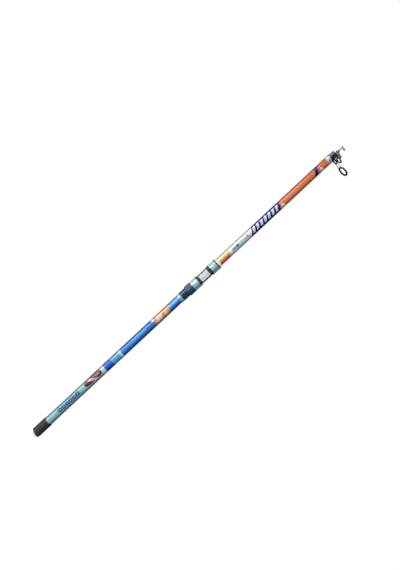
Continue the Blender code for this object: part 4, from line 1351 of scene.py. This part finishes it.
class ROD_OT_lock_nut(bpy.types.Operator):
    """Fluted nut that drives the moving hood"""

    bl_idname = "rod.lock_nut"
    bl_label = "Lock nut"

    def execute(self, context):
        sizes = context.scene.rod_seat
        start, end, _ = span("lock_nut")
        outside = max(hypot(v.co.y, v.co.z) for v in frame["nodes"]["lock_nut"].data.vertices)
        bore = hood_bore()
        flutes, depth = sizes.nut_flutes, sizes.nut_flute_depth
        steps_per_flute, stretches = 16, 8

        def fluted(share):
            return lambda angle: outside - depth * (0.5 - 0.5 * cos(flutes * angle)) ** 1.6 * share

        flute_end = end - sizes.nut_band
        rings = [(start, bore + 0.0003), (start, outside - 0.0012), (start + 0.0002, outside - 0.0009),
                 (start + 0.0007, fluted(0.55)), (start + 0.0012, fluted(1.0))]
        for i in range(1, stretches):
            rings.append((start + 0.0012 + (flute_end - 0.0026 - start) * i / stretches, fluted(1.0)))
        rings += [
            (flute_end - 0.0014, fluted(1.0)), (flute_end - 0.0010, fluted(0.85)),
            (flute_end - 0.0006, fluted(0.5)), (flute_end - 0.0003, fluted(0.15)),
            (flute_end - 0.0001, outside - 0.0001), (flute_end, outside - 0.0006),
            (flute_end + 0.0003, outside - 0.0006), (flute_end + 0.0004, outside - 0.0001),
            (flute_end + 0.0006, outside), (end - 0.0008, outside), (end - 0.0003, outside - 0.0003),
            (end, outside - 0.0009), (end, bore + 0.0003), (end - 0.0003, bore), (start + 0.0003, bore),
        ]
        piece = loft("lock_nut_fluted", rings, flutes * steps_per_flute, smooth_angle=32.0)
        dress(piece, "lock_nut", "seat_plastic", "lock_nut", "seat_moulding")
        return {"FINISHED"}


class ROD_OT_inner_sections(bpy.types.Operator):
    """The three sections that slide inside the butt section"""

    bl_idname = "rod.inner_sections"
    bl_label = "Inner sections"

    def execute(self, context):
        for body in ("section_2", "section_3", "tip_section"):
            node = body + "_tube"
            rings = turned_rings(node)
            outer = [(x, radii[-1]) for x, radii in rings.items() if radii[-1] > 0.0]
            inner = [(x, radii[0]) for x, radii in rings.items() if len(radii) > 1]
            if body == "tip_section":
                # Its bore ends in a cone, and its thin end is solid
                start, wedge, bore_end, cone_end, end = rings
                outer = [(x, rings[x][-1]) for x in (start, wedge, end)] + [(end, 0.0)]
                inner = [(x, rings[x][0]) for x in (start, wedge, bore_end)] + [(cone_end, 0.0)]
            piece = turn(body + "_blank", outer[::-1] + inner, steps=72, soften=0.00008, soften_steps=2)
            dress(piece, body, "dark_blank", node, "carbon_blank")
        return {"FINISHED"}


class ROD_OT_end_rings(bpy.types.Operator):
    """Turned rings on the front ends of the second and third section"""

    bl_idname = "rod.end_rings"
    bl_label = "Section end rings"

    def execute(self, context):
        for body in ("section_2", "section_3"):
            node = body + "_end_ring"
            start, end, outside, inside = ring_sizes(node)
            middle, groove = (start + end) / 2.0, outside - 0.00018
            piece = turn(node + "_turned", [
                (end, outside - 0.0002), (middle + 0.0002, outside), (middle + 0.0001, groove),
                (middle - 0.0001, groove), (middle - 0.0002, outside), (start, outside),
                (start, inside), (end, inside),
            ], soften=0.00007, soften_steps=2)
            dress(piece, body, "turned_metal", node, "collar_metal")
        return {"FINISHED"}


def foot_points(places, radius, wire):
    """Points of a leg's foot that lies along a barrel."""
    around = bpy.context.scene.rod_guides.leg_spread
    reach = radius + wire * 0.6
    return [(x, reach * cos(around), reach * sin(around)) for x in places]


def both_legs(name, points, radius):
    """Two mirrored legs through points given as place along the rod, height and distance to the side."""
    return [bent_wire(name + label, [(x, -rise, side * apart) for x, rise, apart in points],
                      radius, radius * 0.55) for side, label in ((-1.0, "_a"), (1.0, "_b"))]


def bound_barrel(name, start, end, inside, outside, wrap_start, wrap_end, wrap):
    """A black sleeve with a thicker lacquered binding over the legs' feet."""
    plain = outside - wrap
    shoulder = plain + wrap * 0.55
    return turn(name, [
        (end, plain - 0.0001), (wrap_end + 0.0006, plain), (wrap_end + 0.0002, shoulder),
        (wrap_end - 0.0006, outside), (wrap_start + 0.0006, outside), (wrap_start - 0.0002, shoulder),
        (wrap_start - 0.0006, plain), (start, plain), (start, inside), (end, inside),
    ], soften=0.00022)


def build_guide(node, behind, body, ring, leg, feet, angle, wrap=None, over=None):
    """A guide's barrel, legs and hoop, in front of the piece behind its barrel.

    feet are the shares of the barrel's length where a leg's foot lies, and angle says where it
    meets the hoop. wrap gives the binding: its ends as shares, and its height. Without it the
    barrel is plain with a rim. over leads the legs past the piece behind: how far they clear it,
    in wires, and bends as (share, rise, side). Without it they are held by a brace.
    """
    sizes = bpy.context.scene.rod_guides
    label = node.replace("_frame", "")
    start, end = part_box(behind)[1].x + FIT_GAP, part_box(node)[1].x
    long = end - start
    inside, outside = near_radii(node, end)
    if wrap:
        barrel = bound_barrel(label + "_barrel", start, end, inside, outside,
                              start + wrap[0] * long, start + wrap[1] * long, wrap[2])
    else:
        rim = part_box(node)[1].y
        barrel = turn(label + "_barrel", [
            (end, outside), (start + 0.0013, outside), (start + 0.0011, rim), (start, rim),
            (start, inside), (end, inside),
        ], soften=0.00018)
    points = foot_points([start + share * long for share in feet], outside, leg)
    if over:
        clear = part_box(behind)[1].z + over[0] * leg
        points += [(start + share * long, clear * rise, clear * side) for share, rise, side in over[1:]]
    else:
        points += [(sizes.brace_x + sizes.brace_wire, outside, outside * 0.95),
                   (sizes.brace_x, sizes.brace_height + sizes.brace_radius * 0.38,
                    sizes.brace_radius * 0.94)]
    legs = both_legs(label + "_leg", points + [ring.leg_end(radians(angle))], leg)
    hoops = [hoop(label + "_hoop", ring.x, ring.height, ring.hoop + sizes.swell,
                  ring.rim + sizes.swell, width=sizes.band_width)]
    if not over:
        hoops.append(hoop(label + "_brace", sizes.brace_x, sizes.brace_height, sizes.brace_radius,
                          sizes.brace_wire, width=sizes.band_width))
    coat(barrel, "guide_enamel")
    for item in hoops:
        coat(item, "hoop_enamel")
    for item in legs:
        coat_in_two(item, "hoop_enamel", "leg_wire", lambda centre: -centre.y >= sizes.bare_height)
    dress(rename(join_pieces(barrel, hoops + legs), label + "_wires"), body, "guide_black", node)


class ROD_OT_guide_frames(bpy.types.Operator):
    """Barrels, legs and hoops of the two fixed guides and the floating one"""

    bl_idname = "rod.guide_frames"
    bl_label = "Guide frames"

    def execute(self, context):
        sizes = context.scene.rod_guides
        build_guide("guide_1_frame", "mouth_collar", "section_2", RING_1, sizes.leg_1, (0.85, 0.45), 40.0,
                    wrap=(0.30, 0.92, 0.0003))
        build_guide("guide_2_frame", "section_2_end_ring", "section_3", RING_2, sizes.leg_2, (0.85, 0.50),
                    55.0, wrap=(0.36, 0.90, 0.00025), over=(2.0, (0.17, 0.92, 0.58), (-0.25, 1.12, 0.66)))
        build_guide("float_guide_frame", "section_3_end_ring", "float_guide", RING_3, sizes.leg_3,
                    (0.92, 0.55), 55.0, over=(4.0, (0.25, 0.80, 0.48), (-0.60, 1.10, 0.56)))
        return {"FINISHED"}


class ROD_OT_guide_rings(bpy.types.Operator):
    """Polished inserts of every guide"""

    bl_idname = "rod.guide_rings"
    bl_label = "Ring inserts"

    def execute(self, context):
        for node, body, ring in (("guide_1_ring", "section_2", RING_1), ("guide_2_ring", "section_3", RING_2),
                                 ("float_guide_ring", "float_guide", RING_3),
                                 ("tip_top_ring", "tip_section", TIP_RING)):
            insert = hoop(node + "_polished", ring.x, ring.height, ring.insert_reach - ring.insert,
                          ring.insert, 128, 28)
            bed = hoop(node + "_bed", ring.x, ring.height, ring.insert_reach + FIT_GAP * 0.65,
                       FIT_GAP * 0.9, 128, 12)
            dress(join_pieces(insert, [bed]), body, "ring_black", node, "ring_glaze")
        return {"FINISHED"}


class ROD_OT_tip_top(bpy.types.Operator):
    """Tube, wires and hoop of the tip top"""

    bl_idname = "rod.tip_top"
    bl_label = "Tip top"

    def execute(self, context):
        sizes = context.scene.rod_guides
        start, end, _ = span("tip_top_frame")
        bore, outside = near_radii("tip_top_frame", start)
        bore_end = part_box("tip_section_tube")[1].x + FIT_GAP
        groove = outside - 0.00012
        tube = turn("tip_tube", [
            (end, 0.0), (end - 0.0001, outside * 0.55), (end - 0.0005, outside * 0.9),
            (end - 0.0009, outside), (start + 0.0022, outside), (start + 0.0020, groove),
            (start + 0.0017, groove), (start + 0.0015, outside), (start, outside), (start, bore),
            (bore_end - 0.0003, bore), (bore_end - 0.0001, 0.0),
        ], steps=48, soften=0.00005, soften_steps=2)
        points = foot_points((start + 0.0048, start + 0.0086), outside, sizes.tip_leg)
        legs = both_legs("tip_leg", points + [TIP_RING.leg_end(radians(60.0))], sizes.tip_leg)
        ring = hoop("tip_hoop", TIP_RING.x, TIP_RING.height, TIP_RING.hoop, TIP_RING.rim,
                    width=sizes.band_width)
        coat(ring, "hoop_enamel")
        for item in (tube, *legs):
            coat(item, "tip_metal")
        piece = rename(join_pieces(tube, legs + [ring]), "tip_top_wires")
        dress(piece, "tip_section", "tip_grey", "tip_top_frame")
        return {"FINISHED"}


class ROD_OT_stage(bpy.types.Operator):
    """Floor, lamps and camera of the picture"""

    bl_idname = "rod.stage"
    bl_label = "Stage"

    def execute(self, context):
        stage = context.scene.rod_stage
        self.floor(stage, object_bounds()[0].z)
        self.lamps(stage)
        self.world(stage)
        self.camera(stage)
        context.scene.view_settings.view_transform = "Standard"
        return {"FINISHED"}

    def floor(self, stage, height):
        """White paper to the camera, and a card on the lit side in the pieces' shine."""
        deselect_all()
        bpy.ops.mesh.primitive_plane_add(size=stage.floor_size, location=(2.0, 0.0, height - FLOOR_GAP))
        piece = rename(bpy.context.object, "floor")
        paper = Surface("floor_paper")
        shade = paper.mix(paper.noise(paper.point, 30.0), grey(0.10), grey(0.12))
        paper.paint(shade, 0.9, Specular_IOR_Level=0.1)
        path = paper.add("LightPath").outputs
        lit_side = paper.math("MULTIPLY_ADD", paper.parts(paper.point)["Y"], 16.0, 0.4, clamp=True)
        card = paper.mix(lit_side, 0.0, 0.4, "FLOAT")
        mirrored = paper.larger(path["Is Glossy Ray"], path["Is Transmission Ray"])
        level = paper.larger(paper.times(path["Is Camera Ray"], 0.94), paper.times(mirrored, card))
        total = paper.add("AddShader")
        paper.feed(total.inputs[0], paper.shader.outputs[0])
        paper.feed(total.inputs[1], paper.add("Emission", Strength=level).outputs[0])
        paper.fill(paper.tree.nodes["Material Output"], Surface=total.outputs[0])
        piece.data.materials.append(paper.material)
        piece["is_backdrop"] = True

    def lamps(self, stage):
        """A soft lamp overhead for the colours, and a long one beside the rod for the shine."""
        deselect_all()
        bpy.ops.object.light_add(type="SUN", location=(0.6, 0.2, 1.4), rotation=(-stage.key_tilt, 0.0, 0.0))
        key = bpy.context.object
        key.name = "key_lamp"
        key.data.energy = stage.key_strength
        key.data.angle = radians(25.0)
        key.visible_glossy = False
        away, angle = stage.strip_distance, stage.strip_tilt
        bpy.ops.object.light_add(type="AREA", location=(0.6, away * sin(angle), away * cos(angle)),
                                 rotation=(-angle, 0.0, 0.0))
        strip = bpy.context.object
        strip.name = "strip_lamp"
        strip.data.shape = "RECTANGLE"
        strip.data.size, strip.data.size_y = 3.6, 0.5
        strip.data.energy = stage.strip_power
        strip.visible_diffuse = False

    def world(self, stage):
        """White to the camera. In the pieces' shine it is bright on the strip lamp's side only."""
        room = bpy.data.worlds.new("studio")
        bpy.context.scene.world = room
        room.use_nodes = True
        graph = Graph(room.node_tree)
        path = graph.add("LightPath").outputs
        across = graph.parts(graph.add("TexCoord").outputs["Generated"])["Y"]
        side = graph.math("MULTIPLY_ADD", across, 0.5, 0.5, clamp=True)
        cards = graph.add("ValToRGB", Fac=side)
        steps = cards.color_ramp.elements
        steps[0].position, steps[0].color = 0.0, (0.02, 0.03, 0.04, 1.0)
        steps[1].position, steps[1].color = 1.0, (0.60, 0.62, 0.63, 1.0)
        for place, level in ((0.1, 0.05), (0.32, 0.12), (0.5, 0.34), (0.71, 0.54)):
            steps.new(place).color = grey(level)
        fill = stage.fill
        soft = graph.mix(side, (fill * 0.80, fill * 0.85, fill * 0.90, 1.0), grey(fill))
        lit = graph.mix(path["Is Glossy Ray"], soft, cards.outputs["Color"])
        shown = graph.larger(path["Is Camera Ray"], path["Is Transmission Ray"])
        graph.fill(graph.tree.nodes["Background"], Color=graph.mix(shown, lit, grey(1.0)))

    def camera(self, stage):
        """Over the rod, leaned along it towards its aim and rolled to the picture's slope."""
        deselect_all()
        place = (stage.camera_place, -stage.aim_side, stage.camera_height)
        bpy.ops.object.camera_add(location=place)
        camera = bpy.context.object
        camera.name = "photo_camera"
        camera.rotation_mode = "XYZ"
        lean = atan2(stage.aim_place - stage.camera_place, stage.camera_height)
        roll = stage.rod_angle
        camera.matrix_world = (
            (cos(roll) * cos(lean), -sin(roll), cos(roll) * sin(lean), 0.0),
            (sin(roll) * cos(lean), cos(roll), sin(roll) * sin(lean), 0.0),
            (-sin(lean), 0.0, cos(lean), 0.0),
            (*place, 1.0),
        )
        camera.data.sensor_width = 36.0
        camera.data.lens = stage.lens
        camera.data.clip_start = 0.01
        camera.data.clip_end = 50.0
        bpy.context.scene.camera = camera


class ROD_PT_panel(bpy.types.Panel):
    """Lists every operator and setting of the rod"""

    bl_idname = "ROD_PT_panel"
    bl_label = "Surf rod"
    bl_space_type = "VIEW_3D"
    bl_region_type = "UI"
    bl_category = "Surf rod"

    def draw(self, context):
        column = self.layout.column()
        for operator in OPERATORS:
            column.operator(operator.bl_idname)
        for group in SETTINGS:
            settings = getattr(context.scene, group)
            for name in settings.__annotations__:
                column.prop(settings, name)


SETTINGS = {
    "rod_seat": RodSeatSizes,
    "rod_guides": RodGuideSizes,
    "rod_print": RodPrintColours,
    "rod_finish": RodFinishColours,
    "rod_stage": RodStageSizes,
}

# In the order in which they are run
OPERATORS = (
    ROD_OT_butt_tube, ROD_OT_mouth_collar, ROD_OT_butt_sleeve, ROD_OT_butt_plug, ROD_OT_trim_rings,
    ROD_OT_seat_barrel, ROD_OT_foot_plate, ROD_OT_hoods, ROD_OT_lock_nut, ROD_OT_inner_sections,
    ROD_OT_end_rings, ROD_OT_guide_frames, ROD_OT_guide_rings, ROD_OT_tip_top, ROD_OT_stage,
)


def register():
    for name, group in SETTINGS.items():
        bpy.utils.register_class(group)
        setattr(bpy.types.Scene, name, PointerProperty(type=group))
    for shown in (*OPERATORS, ROD_PT_panel):
        bpy.utils.register_class(shown)


def unregister():
    for shown in (ROD_PT_panel, *reversed(OPERATORS)):
        bpy.utils.unregister_class(shown)
    for name, group in reversed(SETTINGS.items()):
        delattr(bpy.types.Scene, name)
        bpy.utils.unregister_class(group)


def main():
    register()
    for operator in OPERATORS:
        group, name = operator.bl_idname.split(".")
        getattr(getattr(bpy.ops, group), name)()


if __name__ == "__main__":
    main()
